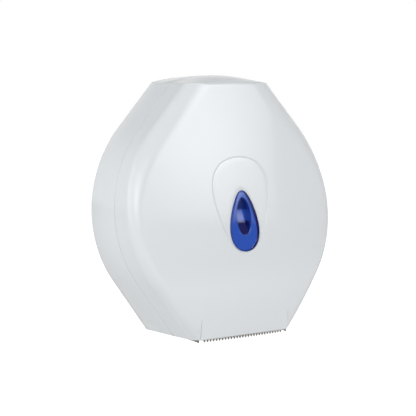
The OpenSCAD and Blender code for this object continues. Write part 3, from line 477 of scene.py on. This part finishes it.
# how the face steps down into the egg: distance outside the egg's line, and drop
eggEdge = [(0.7, 0), (0.3, 0), (0.18, 0.06), (0.05, 0.5), (-0.25, 0.6), (-0.4, 0.45), (-0.55, 0.42),
           (-1.6, 1.1), (-1.75, 1.45), (-2.05, 1.5), (-2.2, 1.25), (-2.5, 1.2)]
dropEdge = [(0.8, 0), (0.25, 0.2), (0, 0.7)]   # the same at the window's hole, in shares of the lip


def egg(a, grow):
    s = sin(a)
    return Vector((cos(a) * (cover["eggHalfW"] + grow + cover["eggWiden"] * s + cover["eggFill"] * s * s),
                   cover["eggZ"] + (cover["eggHalfH"] + grow) * s))


def drop(a, grow):
    s = sin(a)
    return Vector((cos(a) * (dropShape["halfW"] + grow - dropShape["narrow"] * s + dropShape["fill"] * s * s),
                   dropShape["z"] + (dropShape["halfH"] + grow) * s))


def planAngle(q, z):
    return atan2(q[1] - z, q[0])


def roundIn(r, t, a):   # how far a rounding of radius r has drawn in at angle a, t inside the outer face
    return t + (r - t) * (1 - cos(a))


def edgePlan(a, t):
    side, top, base = (roundIn(body[k], t, a) for k in ("edgeSideR", "edgeTopR", "edgeBottomR"))
    return outline(body["sideTaper"] + side, body["topTaper"] + top, body["sideTaper"] + base,
                   body["frontCrown"])


def edgeRing(a, t):
    return [at(q, skinDepth(q, t)) for q in edgePlan(a, t)]


def wallRing(f, t):   # on the cover's side wall, from the parting line (f = 0) to the rounding (f = 1)
    side = mix(drawIn(body["seamBottom"]), body["sideTaper"], f) + t
    top = mix(topDrawIn(body["seamTop"]), body["topTaper"], f) + t
    plan = outline(side, top, side, crownAt(mix(body["seamTop"], body["depthTop"], f)))
    ends = zip(seamRing(t, body["seamGap"]), edgeRing(0, t))
    return [at(q, -mix(rear.y, front.y, f)) for q, (rear, front) in zip(plan, ends)]


def faceRing(f, t, grow):   # on the face, from the rounding (f = 0) to the egg (f = 1)
    plan = [mix(o, egg(planAngle(o, cover["eggZ"]), grow), f) for o in edgePlan(pi / 2, t)]
    return [at(q, skinDepth(q, t)) for q in plan]


def recessRing(f, t, down, eggGrow, dropGrow=0):   # from the egg (f = 0) to the window's hole (f = 1)
    rim = outline(0, 0, 0, body["frontCrown"])
    plan = [mix(egg(planAngle(o, cover["eggZ"]), eggGrow), drop(planAngle(o, dropShape["z"]), dropGrow), f)
            for o in rim]
    return [at(q, faceDepth(q[0], q[1]) - down - t) for q in plan]


def coverRings():   # from the parting line over the outside to the window's hole, and back along the inside
    skin, wall, lip, gap = body["skin"], cover["wall"], cover["lip"], body["seamGap"]
    wallN, edgeN, faceN, recessN = cover["stepsOut"]
    eggOut = eggEdge[0][0] * mm
    eggIn = eggEdge[-1][0] * mm
    rimLift = gap + cover["tongueH"] + cover["tongueEndGap"]
    rings = [seamRing(skin + lip, gap), seamRing(skin + lip * bend, gap + lip * bend),
             seamRing(skin, gap + lip)]
    rings += [wallRing(i / wallN, skin) for i in range(1, wallN)]
    rings += [edgeRing(pi / 2 * i / edgeN, skin) for i in range(edgeN + 1)]
    rings += [faceRing(i / faceN, skin, eggOut) for i in range(1, faceN + 1)]
    rings += [recessRing(0, skin, down * mm, grow * mm) for grow, down in eggEdge[1:]]
    rings += [recessRing(i / recessN, skin, cover["eggStep"], eggIn) for i in range(1, recessN)]
    rings += [recessRing(1, skin, cover["eggStep"] + down * lip, eggIn, grow * lip)
              for grow, down in dropEdge]
    wallN, edgeN, faceN, recessN = cover["stepsIn"]
    rings += [recessRing(i / recessN, wall, cover["eggStep"], eggIn) for i in range(recessN, -1, -1)]
    rings += [faceRing(i / faceN, wall, 0) for i in range(faceN - 1, 0, -1)]
    rings += [edgeRing(pi / 2 * i / edgeN, wall) for i in range(edgeN, -1, -1)]
    rings += [wallRing(i / wallN, wall) for i in range(wallN - 1, 0, -1)]
    rings += [seamRing(wall, rimLift), seamRing(cover["rimT"], rimLift), seamRing(cover["rimT"], gap)]
    return rings


def raiseTearPanel(bm):   # flattens the face over the outlet, with a small step and a groove at each side
    halfW, edge, height = cover["panelHalfW"], cover["panelEdge"], cover["panelH"]
    groove = [halfW + edge + share * cover["panelLine"] for share in lineCuts]
    for x in [side * cut for side in (-1, 1) for cut in [halfW, halfW + edge] + groove]:
        geom = list(bm.verts) + list(bm.edges) + list(bm.faces)
        bmesh.ops.bisect_plane(bm, geom=geom, dist=tiny / 10, plane_co=(x, 0, 0), plane_no=(1, 0, 0))
    for v in bm.verts:
        q = (v.co.x, v.co.z)
        up = (q[1] - frontBaseZ) / height
        if up > 1 or -v.co.y < skinDepth(q, cover["wall"] / 2):
            continue
        if abs(q[0]) > halfW + edge / 2:
            if groove[1] - tiny < abs(q[0]) < groove[2] + tiny:
                v.co.y += cover["panelLine"] * clamp((1 - up) * cover["lineFade"])
            continue
        flat = cover["panelFlat"] * (1 - clamp(up)) ** cover["panelFade"]
        v.co.y -= flat * body["faceDome"] * (q[0] / body["roundR"]) ** 2


def outletFront(x):
    return faceDepth(x, frontBaseZ) - cover["wall"]


hinge = {
    "ahead": 7 * mm, "up": 5.2 * mm, "pinR": 2.5 * mm, "eyeR": 5 * mm, "lugT": 4.5 * mm, "ribT": 5 * mm,
    "gap": 0.5 * mm, "fit": 0.3 * mm, "barT": 1.2 * mm, "ribUp": 9 * mm, "ribAhead": 3 * mm,
    "ribFoot": 0.4 * mm, "ribSteps": 8, "ribFit": 0.06 * mm, "lugFit": 0.05 * mm, "lugUp": 1 * mm,
    "lugBack": 30 * mm, "lugLen": 20 * mm, "lugH": 14 * mm, "lugSteps": 20, "besidePanel": 1 * mm,
    "reliefReach": 12 * mm, "reliefGap": 0.2 * mm, "reliefSteps": 12,
}
hingeD = body["seamBottom"] + hinge["ahead"]
hingeZ = coverBaseZ + hinge["up"]
lugX = cover["panelHalfW"] + hinge["besidePanel"]
ribX = lugX + hinge["gap"] + hinge["barT"] + hinge["fit"]


def arc(d, z, r, start, end, steps):   # points of an arc in the side view, as (depth, z)
    return [(d + r * cos(mix(start, end, i / steps)), z + r * sin(mix(start, end, i / steps)))
            for i in range(steps + 1)]


def sidePlate(bm, points, x, thick):   # a plate across X from a side view outline of (depth, z)
    addPlate(bm, [(x, -d, z) for d, z in points], (thick, 0, 0))


def outletTool():
    bm = bmesh.new()
    w, rear = ribX - cover["outletInset"], -body["seamBottom"] + cover["outletPast"]
    steps = cover["outletSteps"]
    plan = [(-w, rear), (w, rear)]
    plan += [(mix(w, -w, i / steps), -outletFront(mix(w, -w, i / steps))) for i in range(steps + 1)]
    low = frontBaseZ - cover["outletPast"]
    addPlate(bm, [(x, y, low) for x, y in plan], (0, 0, cover["outletPast"] + cover["outletUp"]))
    return bm


def ribTool():
    bm = bmesh.new()
    frontD = skinDepth((ribX + hinge["ribT"], frontBaseZ + cover["wall"]), cover["wall"]) + past
    highZ = hingeZ + hinge["ribUp"]
    side = arc(hingeD, hingeZ, hinge["eyeR"], pi, 1.5 * pi, hinge["ribSteps"])
    side += [(frontD, frontBaseZ + hinge["ribFoot"]), (frontD, highZ), (hingeD + hinge["ribAhead"], highZ)]
    for x in (ribX, -ribX - hinge["ribT"]):
        sidePlate(bm, side, x, hinge["ribT"])
    return bm


def reliefTool():   # rounds off the cover's lower rear corner about the hinge
    bm = bmesh.new()
    reach = hinge["reliefReach"]
    side = arc(hingeD, hingeZ, hinge["eyeR"] + hinge["reliefGap"], pi, 1.5 * pi, hinge["reliefSteps"])
    side += [(hingeD, hingeZ - reach), (hingeD - reach, hingeZ - reach), (hingeD - reach, hingeZ)]
    length = body["roundR"] - ribX
    sidePlate(bm, side, ribX - past, length)
    sidePlate(bm, side, -ribX + past - length, length)
    return bm


boss = {"r": 3 * mm, "pilotR": 1.6 * mm, "pilotLen": 4.5 * mm, "skin": 1.2 * mm, "seat": 0.5 * mm,
        "barX": (-50 * mm, 0, 50 * mm), "barUp": 13 * mm, "screwGrow": 8.5 * mm,
        "screwAngles": (90, -26, -90, 206), "frameFaceIn": 6.8 * mm, "segments": 32, "pilotSegments": 24}


def bossPlaces():   # foot and height of each boss on the cover's inside
    places = []
    for degrees in boss["screwAngles"]:
        q = drop(radians(degrees), boss["screwGrow"])
        foot = -faceDepth(q[0], q[1]) + boss["frameFaceIn"] - boss["seat"]
        height = boss["frameFaceIn"] - cover["eggStep"] - boss["skin"] - boss["seat"]
        places.append(((q[0], foot, q[1]), height))
    z = frontBaseZ + boss["barUp"]
    inside = cover["wall"] + hinge["fit"]
    height = inside + faceDepth(0, z) - faceDepth(0, frontBaseZ) - boss["skin"]
    for x in boss["barX"]:
        places.append(((x, -faceDepth(x, frontBaseZ) + inside - hinge["fit"], z), height))
    return places


pad = {"halfW": 14 * mm, "ahead": 10 * mm, "len": 22 * mm}   # under the top, for the strike plate


def topAt(d):
    return body["topCornerZ"] - topDrawIn(d) + crownAt(d)


def buildCover():
    bm = shellFrom(coverRings(), closed=True)
    raiseTearPanel(bm)
    obj = makeObject(bm, "coverShell")
    combine(obj, outletTool(), "DIFFERENCE")
    inside = ribTool()
    for foot, height in bossPlaces():
        addRod(inside, foot, ahead, boss["r"], height, boss["segments"])
    padD = body["seamTop"] + pad["ahead"]
    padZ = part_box("strike_plate")[1][2]
    addBlock(inside, (-pad["halfW"], -padD - pad["len"], padZ),
             (pad["halfW"], -padD, topAt(padD + pad["len"]) - boss["skin"]))
    combine(obj, inside, "UNION")
    holes = reliefTool()
    for foot, height in bossPlaces():
        back = Vector(foot) + Vector((0, past, 0))
        depth = past + min(height, boss["pilotLen"])
        addRod(holes, back, ahead, boss["pilotR"], depth, boss["pilotSegments"])
    for x in (ribX - past, -ribX - hinge["ribT"] - past):
        addRod(holes, (x, -hingeD, hingeZ), across, hinge["pinR"] + hinge["ribFit"], hinge["ribT"] + 2 * past)
    combine(obj, holes, "DIFFERENCE")
    return addPiece(obj, "cover", shellWhite, "front_cover", 32)


coverShell = buildCover()
print("cover shell:", len(coverShell.data.polygons), "faces")

# sight window

# the last six values set painted shade in the lens's blue: on the dished side and the rim, with less on the
# left than on the right, how fast it rises up the dished side, and an even amount under the rim, on the
# scoop's wall and on the back
window = {
    "gap": 0.3 * mm, "over": 0.3 * mm, "proud": 1.6 * mm, "rimR": 0.5 * mm, "rimTop": 0.2 * mm,
    "dishWide": 3.5 * mm, "dishTall": 1.1 * mm, "dishDown": 1.6 * mm, "dishSoft": 0.2, "crown": 0.3 * mm,
    "t": 2.2 * mm, "flange": 4 * mm, "flangeGap": 0.3 * mm, "rimLift": 0.02 * mm,
    "backDrop": 0.01 * mm, "ovalHalfW": 12 * mm, "ovalHalfH": 27 * mm, "ovalZ": -8 * mm,
    "segments": 128, "dishSteps": 8, "rimSteps": 4, "rimShade": 1.0, "leftShade": 0.3,
    "edgeShade": 0.5, "wallShade": 0.35, "backShade": 0.5, "shadeRise": 4,
}
# highZ, lowZ, fade, endZ, endFade and the last three values paint the scoop's blue darker: painted reflection
# and painted shade on its upper and lower parts, light between, none below endZ
scoop = {
    "depth": 10.1 * mm, "z": 0.9 * mm, "bendR": 60 * mm, "soft": 0.2 * mm, "wall": 0.1,
    "start": 0.02, "floorSteps": 12, "wallSteps": 12,
    "highZ": 1.2 * mm, "lowZ": -14.6 * mm, "fade": 2.6 * mm, "endZ": -36.2 * mm, "endFade": 3.2 * mm,
    "middleShade": 0.05, "highShade": 0.7, "lowShade": 0.97,
}
floorCuts = (0.15, 0.35, 0.6, 0.85, 0.96, 1)   # loops on the window's floor, from the scoop to the dish
backCuts = (1, 0.5)                            # and on its back


def windowPlan(f, wide, tall):   # from the oval (f = 0) to the window's edge (f = 1), moved by wide and tall
    places = []
    for i in range(window["segments"]):
        a = 2 * pi * i / window["segments"]
        oval = Vector((window["ovalHalfW"] * cos(a), window["ovalZ"] + window["ovalHalfH"] * sin(a)))
        places.append(mix(oval, Vector((drop(a, wide)[0], drop(a, tall)[1])), f))
    return places


def windowRing(f, up, wide=0.0, tall=None):
    plan = windowPlan(f, wide, wide if tall is None else tall)
    return [at(q, faceDepth(q[0], q[1]) - cover["eggStep"] + up) for q in plan]


def scoopRing(share, up):   # from the middle of the thumb scoop (share = 0) to its edge (share = 1)
    steep = smooth((1 - share) / scoop["wall"])
    middle = Vector((0, window["ovalZ"]))
    places, paintedShades = [], []
    for edge in windowPlan(0, 0, 0):
        q = mix(middle, edge, share)
        along = scoop["depth"] - (q[1] - scoop["z"]) ** 2 / (2 * scoop["bendR"])
        down = steep * (along + hypot(along, scoop["soft"])) / 2
        places.append(at(q, faceDepth(q[0], q[1]) - cover["eggStep"] + up - down))
        # painted reflection and painted shade: dark above highZ and below lowZ, light between, the wall's own
        # amount at the scoop's edge, none below endZ
        high = smooth((q[1] - scoop["highZ"]) / scoop["fade"] + 0.5)
        low = smooth((scoop["lowZ"] - q[1]) / scoop["fade"] + 0.5)
        paintedShade = mix(mix(scoop["middleShade"], scoop["highShade"], high), scoop["lowShade"], low)
        paintedShades.append(mix(window["wallShade"], paintedShade, steep) * smooth((q[1] - scoop["endZ"]) / scoop["endFade"]))
    return places, paintedShades


def evenly(paintedShade):
    return [paintedShade] * window["segments"]


def scoopShares():   # loops close together on the scoop's steep wall
    inner, floorN, wallN = 1 - scoop["wall"], scoop["floorSteps"], scoop["wallSteps"]
    return ([scoop["start"]] + [inner * i / floorN for i in range(1, floorN)]
            + [inner + scoop["wall"] * i / wallN for i in range(wallN + 1)])


def buildWindow():
    gap, over, rimR, proud, t = (window[k] for k in ("gap", "over", "rimR", "proud", "t"))
    rimIn = over - rimR - window["rimTop"]
    footWide, footTall = rimIn - window["dishWide"], rimIn - window["dishTall"]
    floorUp = proud - window["dishDown"]
    floorMiddle = floorUp + window["crown"]
    # painted shade round the rim, heavier on the right side than on the left
    sides = [mix(window["leftShade"], 1, smooth(0.5 + cos(2 * pi * i / window["segments"])))
             for i in range(window["segments"])]
    shares = scoopShares()
    loops = [scoopRing(share, floorMiddle) for share in shares]
    loops += [(windowRing(f, floorUp + window["crown"] * (1 - f * f), footWide, footTall), evenly(0))
              for f in floorCuts]
    for i in range(1, window["dishSteps"] + 1):   # up the dished side
        share = i / window["dishSteps"]
        wide, tall = mix(footWide, rimIn, share), mix(footTall, rimIn, share)
        climb = mix(share, smooth(share), window["dishSoft"])
        dark = window["rimShade"] * smooth(window["shadeRise"] * share)
        loops.append((windowRing(1, floorUp + window["dishDown"] * climb, wide, tall),
                      [dark * side for side in sides]))
    for i in range(window["rimSteps"] + 1):   # over the rim's rounding
        a = pi / 2 * i / window["rimSteps"]
        loops.append((windowRing(1, proud - rimR * (1 - cos(a)), over - rimR * (1 - sin(a))),
                      [mix(window["rimShade"] * side, window["edgeShade"], sin(a)) for side in sides]))
    # under the rim, through the hole, round the flange and on the back: an even painted shade
    lift, flange, back = window["rimLift"], window["flange"], -cover["wall"] - window["flangeGap"]
    for up, grow in [(lift, over), (lift, -gap), (back, -gap), (back, flange), (back - t, flange),
                     (back - t, rimIn)]:   # under the rim, through the hole and round the flange
        loops.append((windowRing(1, up, grow), evenly(window["edgeShade"])))
    loops += [(windowRing(f, min(back, floorUp) - t - window["backDrop"], footWide, footTall),
               evenly(window["backShade"])) for f in backCuts]
    loops += [scoopRing(share, floorMiddle - t) for share in reversed(shares)]
    rings, paintedShades = zip(*loops)
    obj = makeObject(shellFrom(rings, closed=False, paintedShades=paintedShades), "windowLens")
    return addPiece(obj, "cover", windowBlue, "sight_window", 40)


windowLens = buildWindow()
print("window built")

# rear casing

casing = {
    "wall": 3.2 * mm, "back": 3 * mm, "lip": 0.4 * mm, "backR": 0.5 * mm, "floorR": 2 * mm,
    "tongueGap": 0.6 * mm, "tongueLowZ": -60 * mm, "tongueFade": 60 * mm, "fixX": 200 * mm,
    "fixZ": 160 * mm, "fixR": 3 * mm, "fixBossR": 9 * mm, "fixBossH": 2 * mm, "spindleZ": -10 * mm,
    "spindleBossR": 34 * mm, "spindleBossH": 2 * mm, "spindleSegments": 96, "holeSegments": 32,
}
lock = {"depth": 24 * mm, "flangeR": 11 * mm, "flangeT": 1.8 * mm, "sleeveR": 8.5 * mm, "bossH": 7 * mm,
        "bossWall": 4 * mm, "fit": 0.3 * mm, "segments": 64}
wallPlaces = [(x * casing["fixX"] / 2, z * casing["fixZ"] / 2) for x in (-1, 1) for z in (-1, 1)]


def tongueRise(z):   # the casing's tongue fades out towards the bottom
    share = clamp((z - casing["tongueLowZ"]) / casing["tongueFade"] + 1)
    return mix(body["seamGap"] / 2, cover["tongueH"], share)


def casingRings():   # from the back over the outside to the tongue, and back along the inside
    skin, lip, wall, backR = body["skin"], casing["lip"], casing["wall"], casing["backR"]
    back, floorR = casing["back"], casing["floorR"]
    tongueIn = cover["rimT"] + casing["tongueGap"]
    return [
        flatRing(skin + backR, 0), flatRing(skin + backR * bend, backR * bend), flatRing(skin, backR),
        seamRing(skin, -lip), seamRing(skin + lip * bend, -lip * bend), seamRing(skin + lip, 0),
        seamRing(tongueIn, 0), seamRing(tongueIn, 0, tongueRise), seamRing(wall, 0, tongueRise),
        flatRing(wall, back + floorR), flatRing(wall + floorR * bend, back + floorR * bend),
        flatRing(wall + floorR, back)]


def lugOutline():   # the hinge eye joined to its root by tangents, in the side view
    root = [(body["seamBottom"] - hinge["lugBack"], coverBaseZ + hinge["lugUp"])]
    root.append((root[0][0] + hinge["lugLen"], root[0][1] + hinge["lugH"]))

    def tangent(corner, turn):
        d, z = corner[0] - hingeD, corner[1] - hingeZ
        return atan2(z, d) + turn * acos(hinge["eyeR"] / hypot(d, z))

    eye = arc(hingeD, hingeZ, hinge["eyeR"], tangent(root[0], 1), tangent(root[1], -1), hinge["lugSteps"])
    return [root[0]] + eye + [root[1], (root[0][0], root[1][1])]


def buildCasing():
    obj = makeObject(shellFrom(casingRings(), closed=False), "casingShell")
    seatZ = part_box("lock_body")[1][2] - lock["flangeT"]
    bossZ = seatZ - lock["bossH"] + past
    back, lockPlace = casing["back"], (0, -lock["depth"])
    lockN, holeN = lock["segments"], casing["holeSegments"]
    added = bmesh.new()
    addRod(added, (0, -back + past, casing["spindleZ"]), ahead, casing["spindleBossR"],
           casing["spindleBossH"] + past, casing["spindleSegments"])
    for x, z in wallPlaces:
        addRod(added, (x, -back + past, z), ahead, casing["fixBossR"], casing["fixBossH"] + past)
    for x in (lugX - hinge["lugT"], -lugX):
        sidePlate(added, lugOutline(), x, hinge["lugT"])
    addRod(added, (*lockPlace, bossZ), upwards, lock["flangeR"] + lock["bossWall"], lock["bossH"], lockN)
    combine(obj, added, "UNION")
    holes = bmesh.new()
    for x, z in wallPlaces:
        addRod(holes, (x, past, z), ahead, casing["fixR"], back + casing["fixBossH"] + 2 * past, holeN)
    for x in (lugX - hinge["lugT"] - past, -lugX - past):
        addRod(holes, (x, -hingeD, hingeZ), across, hinge["pinR"] + hinge["lugFit"],
               hinge["lugT"] + 2 * past, holeN)
    combine(obj, holes, "DIFFERENCE")
    sleeve = bmesh.new()
    addRod(sleeve, (*lockPlace, bossZ - past), upwards, lock["sleeveR"] + lock["fit"],
           lock["bossH"] + 2 * past, lockN)
    combine(obj, sleeve, "DIFFERENCE")
    seat = bmesh.new()
    addRod(seat, (*lockPlace, seatZ), upwards, lock["flangeR"] + lock["fit"], lock["bossH"], lockN)
    combine(obj, seat, "DIFFERENCE")
    return addPiece(obj, "casing", shellWhite, "rear_casing", 32)


casingShell = buildCasing()
print("casing shell:", len(casingShell.data.polygons), "faces")

# hard parts, rounded along their edges

bodyOf = {node: name for name, members in frame["record"]["behaviour"]["bodies"].items() for node in members}
slotOf = {part["node"]: part["material_slot"] for part in frame["record"]["subparts"]}
finishOf = {"shell_white": shellWhite, "inner_white": innerWhite, "window_blue": windowBlue,
            "hub_grey": hubGrey, "bar_steel": barSteel, "bright_steel": zincSteel, "brake_felt": brakeFelt}
edgeFinish = {"weld": 0.001 * mm, "flatDegrees": 0.6, "sharpDegrees": 38, "segments": 2,
              "smoothDegrees": 30}
# name of the finished piece and the rounding of its edges in mm
hardParts = {
    "window_frame": ("windowFrame", 0.4), "window_screws": ("windowScrews", 0.15),
    "tear_bar": ("tearBar", 0.12), "tear_bar_screws": ("tearBarScrews", 0.15),
    "hinge_pin_left": ("hingePinLeft", 0.4), "hinge_pin_right": ("hingePinRight", 0.4),
    "spindle_post": ("spindlePost", 0.5), "spindle_screws": ("spindleScrews", 0.1),
    "brake_ring": ("brakeRing", 0.4), "roll_hub": ("rollHub", 0.4), "core_adaptor": ("coreAdaptor", 0.4),
    "spindle_cap": ("spindleCap", 0.8), "cap_screw": ("capScrew", 0.2), "lock_body": ("lockBody", 0.3),
    "lock_nut": ("lockNut", 0.3), "lock_barrel": ("lockBarrel", 0.2), "lock_cam": ("lockCam", 0.25),
    "cam_screw": ("camScrew", 0.15), "strike_plate": ("strikePlate", 0.25),
    "strike_screws": ("strikeScrews", 0.15),
}


def buildHardPart(node, name, rounding):
    bm = bmesh.new()
    bm.from_mesh(frame["nodes"][node].data)
    bmesh.ops.remove_doubles(bm, verts=bm.verts, dist=edgeFinish["weld"])
    flat, limit = radians(edgeFinish["flatDegrees"]), radians(edgeFinish["sharpDegrees"])
    bmesh.ops.dissolve_limit(bm, angle_limit=flat, verts=bm.verts, edges=bm.edges)
    sharp = [e for e in bm.edges if len(e.link_faces) == 2 and e.calc_face_angle(0) > limit]
    bmesh.ops.bevel(bm, geom=sharp, offset=rounding * mm, offset_type="OFFSET", affect="EDGES",
                    segments=edgeFinish["segments"], profile=0.5, material=-1, clamp_overlap=True)
    slot = slotOf[node]
    addPiece(makeObject(bm, name), bodyOf[node], finishOf[slot], node, edgeFinish["smoothDegrees"])


for node, (name, rounding) in hardParts.items():
    buildHardPart(node, name, rounding)
print("hard parts:", len(hardParts))

# camera

view = {"azimuth": -33.06, "elevation": 6.12, "distance": 1.8556, "target": (-0.0203, -0.064, 0.0001),
        "lens": 110.6}


def backVector(azimuth, elevation):
    a, e = radians(azimuth), radians(elevation)
    return Vector((sin(a) * cos(e), -cos(a) * cos(e), sin(e)))


cameraData = bpy.data.cameras.new("camera")
cameraData.lens = view["lens"]
camera = bpy.data.objects.new("camera", cameraData)
scene.collection.objects.link(camera)
back = backVector(view["azimuth"], view["elevation"])
camera.location = Vector(view["target"]) + view["distance"] * back
camera.rotation_euler = back.to_track_quat("Z", "Y").to_euler()
scene.camera = camera

# lights, floor and world

# softboxes: a bright middle that fades to the edge, and the place of that middle across and up the box
lamps = {
    "frontPanel": {"azimuth": 24.5, "elevation": 21.3, "distance": 2.4, "width": 1.98, "height": 1.08,
                   "roll": -7, "middle": 4.4, "edge": 0.6, "middleAt": (0.5, 0.65), "fade": (0.63, 0.8)},
    "keyPanel": {"azimuth": -46, "elevation": 20, "distance": 2.4, "width": 2.3, "height": 1.5,
                 "roll": 0, "middle": 2.75, "edge": 0.6, "middleAt": (0.5, 0.5), "fade": (0.5, 0.5)},
    "leftPanel": {"azimuth": -98, "elevation": 16, "distance": 2.4, "width": 2.2, "height": 2.0,
                  "roll": 0, "middle": 1.6, "edge": 0.8, "middleAt": (0.5, 0.5), "fade": (0.5, 0.5)},
}
lampAim = Vector((0, -0.07, 0))   # where all of them point


def addSoftbox(name, box):
    lamp = bpy.data.lights.new(name, "AREA")
    lamp.shape = "RECTANGLE"
    lamp.size, lamp.size_y = box["width"], box["height"]
    lamp.energy = 4 * box["width"] * box["height"]   # brightness 1 where the strength is 1
    lamp.use_nodes = True
    tree = lamp.node_tree
    place = addNode(tree, "ShaderNodeNewGeometry")
    fromMiddle = addNode(tree, "ShaderNodeVectorMath", {1: (*box["middleAt"], 0)}, operation="SUBTRACT")
    scaled = addNode(tree, "ShaderNodeVectorMath", {1: (*box["fade"], 1)}, operation="DIVIDE")
    flat = addNode(tree, "ShaderNodeVectorMath", {1: (1, 1, 0)}, operation="MULTIPLY")
    away = addNode(tree, "ShaderNodeVectorMath", operation="LENGTH")
    level = addNode(tree, "ShaderNodeMapRange", {"To Min": box["middle"], "To Max": box["edge"]},
                    interpolation_type="SMOOTHSTEP")
    tree.links.new(place.outputs["Parametric"], fromMiddle.inputs[0])
    tree.links.new(fromMiddle.outputs[0], scaled.inputs[0])
    tree.links.new(scaled.outputs[0], flat.inputs[0])
    tree.links.new(flat.outputs[0], away.inputs[0])
    tree.links.new(away.outputs["Value"], level.inputs["Value"])
    tree.links.new(level.outputs["Result"], tree.nodes["Emission"].inputs["Strength"])
    holder = bpy.data.objects.new(name, lamp)
    scene.collection.objects.link(holder)
    toBox = backVector(box["azimuth"], box["elevation"])
    holder.location = lampAim + box["distance"] * toBox
    roll = Matrix.Rotation(radians(box["roll"]), 4, "Z")
    holder.rotation_euler = (toBox.to_track_quat("Z", "Y").to_matrix().to_4x4() @ roll).to_euler()


for name, box in lamps.items():
    addSoftbox(name, box)


# floorLift is light added for the camera, floorMirrorLift in mirrors; behind and low say between which
# slopes of a reflected ray the surroundings turn from dim to white
stage = {
    "floorZ": -0.32, "floorSize": 14, "floorColor": (0.85, 0.85, 0.85, 1), "floorRoughness": 0.9,
    "floorLift": 0.78, "floorMirrorLift": 0.3, "worldLight": 0.33, "dimLevel": 0.3,
    "behind": (-0.2, 0.6), "low": (0.8, 0.3),
}
white = (1, 1, 1, 1)


def seenDirectly(tree):   # 1 for rays that show the surroundings: straight, mirrored or through glass
    rays = addNode(tree, "ShaderNodeLightPath")
    first = addNode(tree, "ShaderNodeMath", operation="ADD")
    second = addNode(tree, "ShaderNodeMath", operation="ADD", use_clamp=True)
    tree.links.new(rays.outputs["Is Camera Ray"], first.inputs[0])
    tree.links.new(rays.outputs["Is Glossy Ray"], first.inputs[1])
    tree.links.new(first.outputs[0], second.inputs[0])
    tree.links.new(rays.outputs["Is Transmission Ray"], second.inputs[1])
    return second.outputs[0]


def studioBrightness(tree):   # white for the camera; in reflections the front and the ceiling are dimmer
    coords = addNode(tree, "ShaderNodeTexCoord")
    axes = addNode(tree, "ShaderNodeSeparateXYZ")
    behind, low = (addNode(tree, "ShaderNodeMapRange", {"From Min": stage[k][0], "From Max": stage[k][1]},
                           interpolation_type="SMOOTHSTEP") for k in ("behind", "low"))
    wall = addNode(tree, "ShaderNodeMath", operation="MULTIPLY")
    level = addNode(tree, "ShaderNodeMapRange", {"To Min": stage["dimLevel"], "To Max": 1.0})
    rays = addNode(tree, "ShaderNodeLightPath")
    brightest = addNode(tree, "ShaderNodeMath", operation="MAXIMUM")
    tree.links.new(coords.outputs["Generated"], axes.inputs[0])
    tree.links.new(axes.outputs["Y"], behind.inputs["Value"])
    tree.links.new(axes.outputs["Z"], low.inputs["Value"])
    tree.links.new(behind.outputs["Result"], wall.inputs[0])
    tree.links.new(low.outputs["Result"], wall.inputs[1])
    tree.links.new(wall.outputs[0], level.inputs["Value"])
    tree.links.new(level.outputs["Result"], brightest.inputs[0])
    tree.links.new(rays.outputs["Is Camera Ray"], brightest.inputs[1])
    return brightest.outputs[0]


world = bpy.data.worlds.new("studio")
scene.world = world
world.use_nodes = True
sky = world.node_tree
light = sky.nodes["Background"]
light.inputs["Color"].default_value = white
light.inputs["Strength"].default_value = stage["worldLight"]
seen = addNode(sky, "ShaderNodeBackground", {"Color": white})
sky.links.new(studioBrightness(sky), seen.inputs["Strength"])
either = addNode(sky, "ShaderNodeMixShader")
sky.links.new(seenDirectly(sky), either.inputs["Fac"])
sky.links.new(light.outputs[0], either.inputs[1])
sky.links.new(seen.outputs[0], either.inputs[2])
sky.links.new(either.outputs[0], sky.nodes["World Output"].inputs["Surface"])

floorPaint = bpy.data.materials.new("floorPaint")
floorPaint.use_nodes = True
floorTree = floorPaint.node_tree
paint = floorTree.nodes["Principled BSDF"]
paint.inputs["Base Color"].default_value = stage["floorColor"]
paint.inputs["Roughness"].default_value = stage["floorRoughness"]
paint.inputs["Emission Color"].default_value = white
floorRays = addNode(floorTree, "ShaderNodeLightPath")
lift = addNode(floorTree, "ShaderNodeMapRange",
               {"To Min": stage["floorMirrorLift"], "To Max": stage["floorLift"]})
shown = addNode(floorTree, "ShaderNodeMath", operation="MULTIPLY")
floorTree.links.new(floorRays.outputs["Is Camera Ray"], lift.inputs["Value"])
floorTree.links.new(lift.outputs["Result"], shown.inputs[0])
floorTree.links.new(seenDirectly(floorTree), shown.inputs[1])
floorTree.links.new(shown.outputs[0], paint.inputs["Emission Strength"])
floorShape = bmesh.new()
bmesh.ops.create_grid(floorShape, x_segments=4, y_segments=4, size=stage["floorSize"] / 2,
                      matrix=Matrix.Translation((0, 0, stage["floorZ"])))
floor = makeObject(floorShape, "floor")
floor.data.materials.append(floorPaint)
print("stage ready")
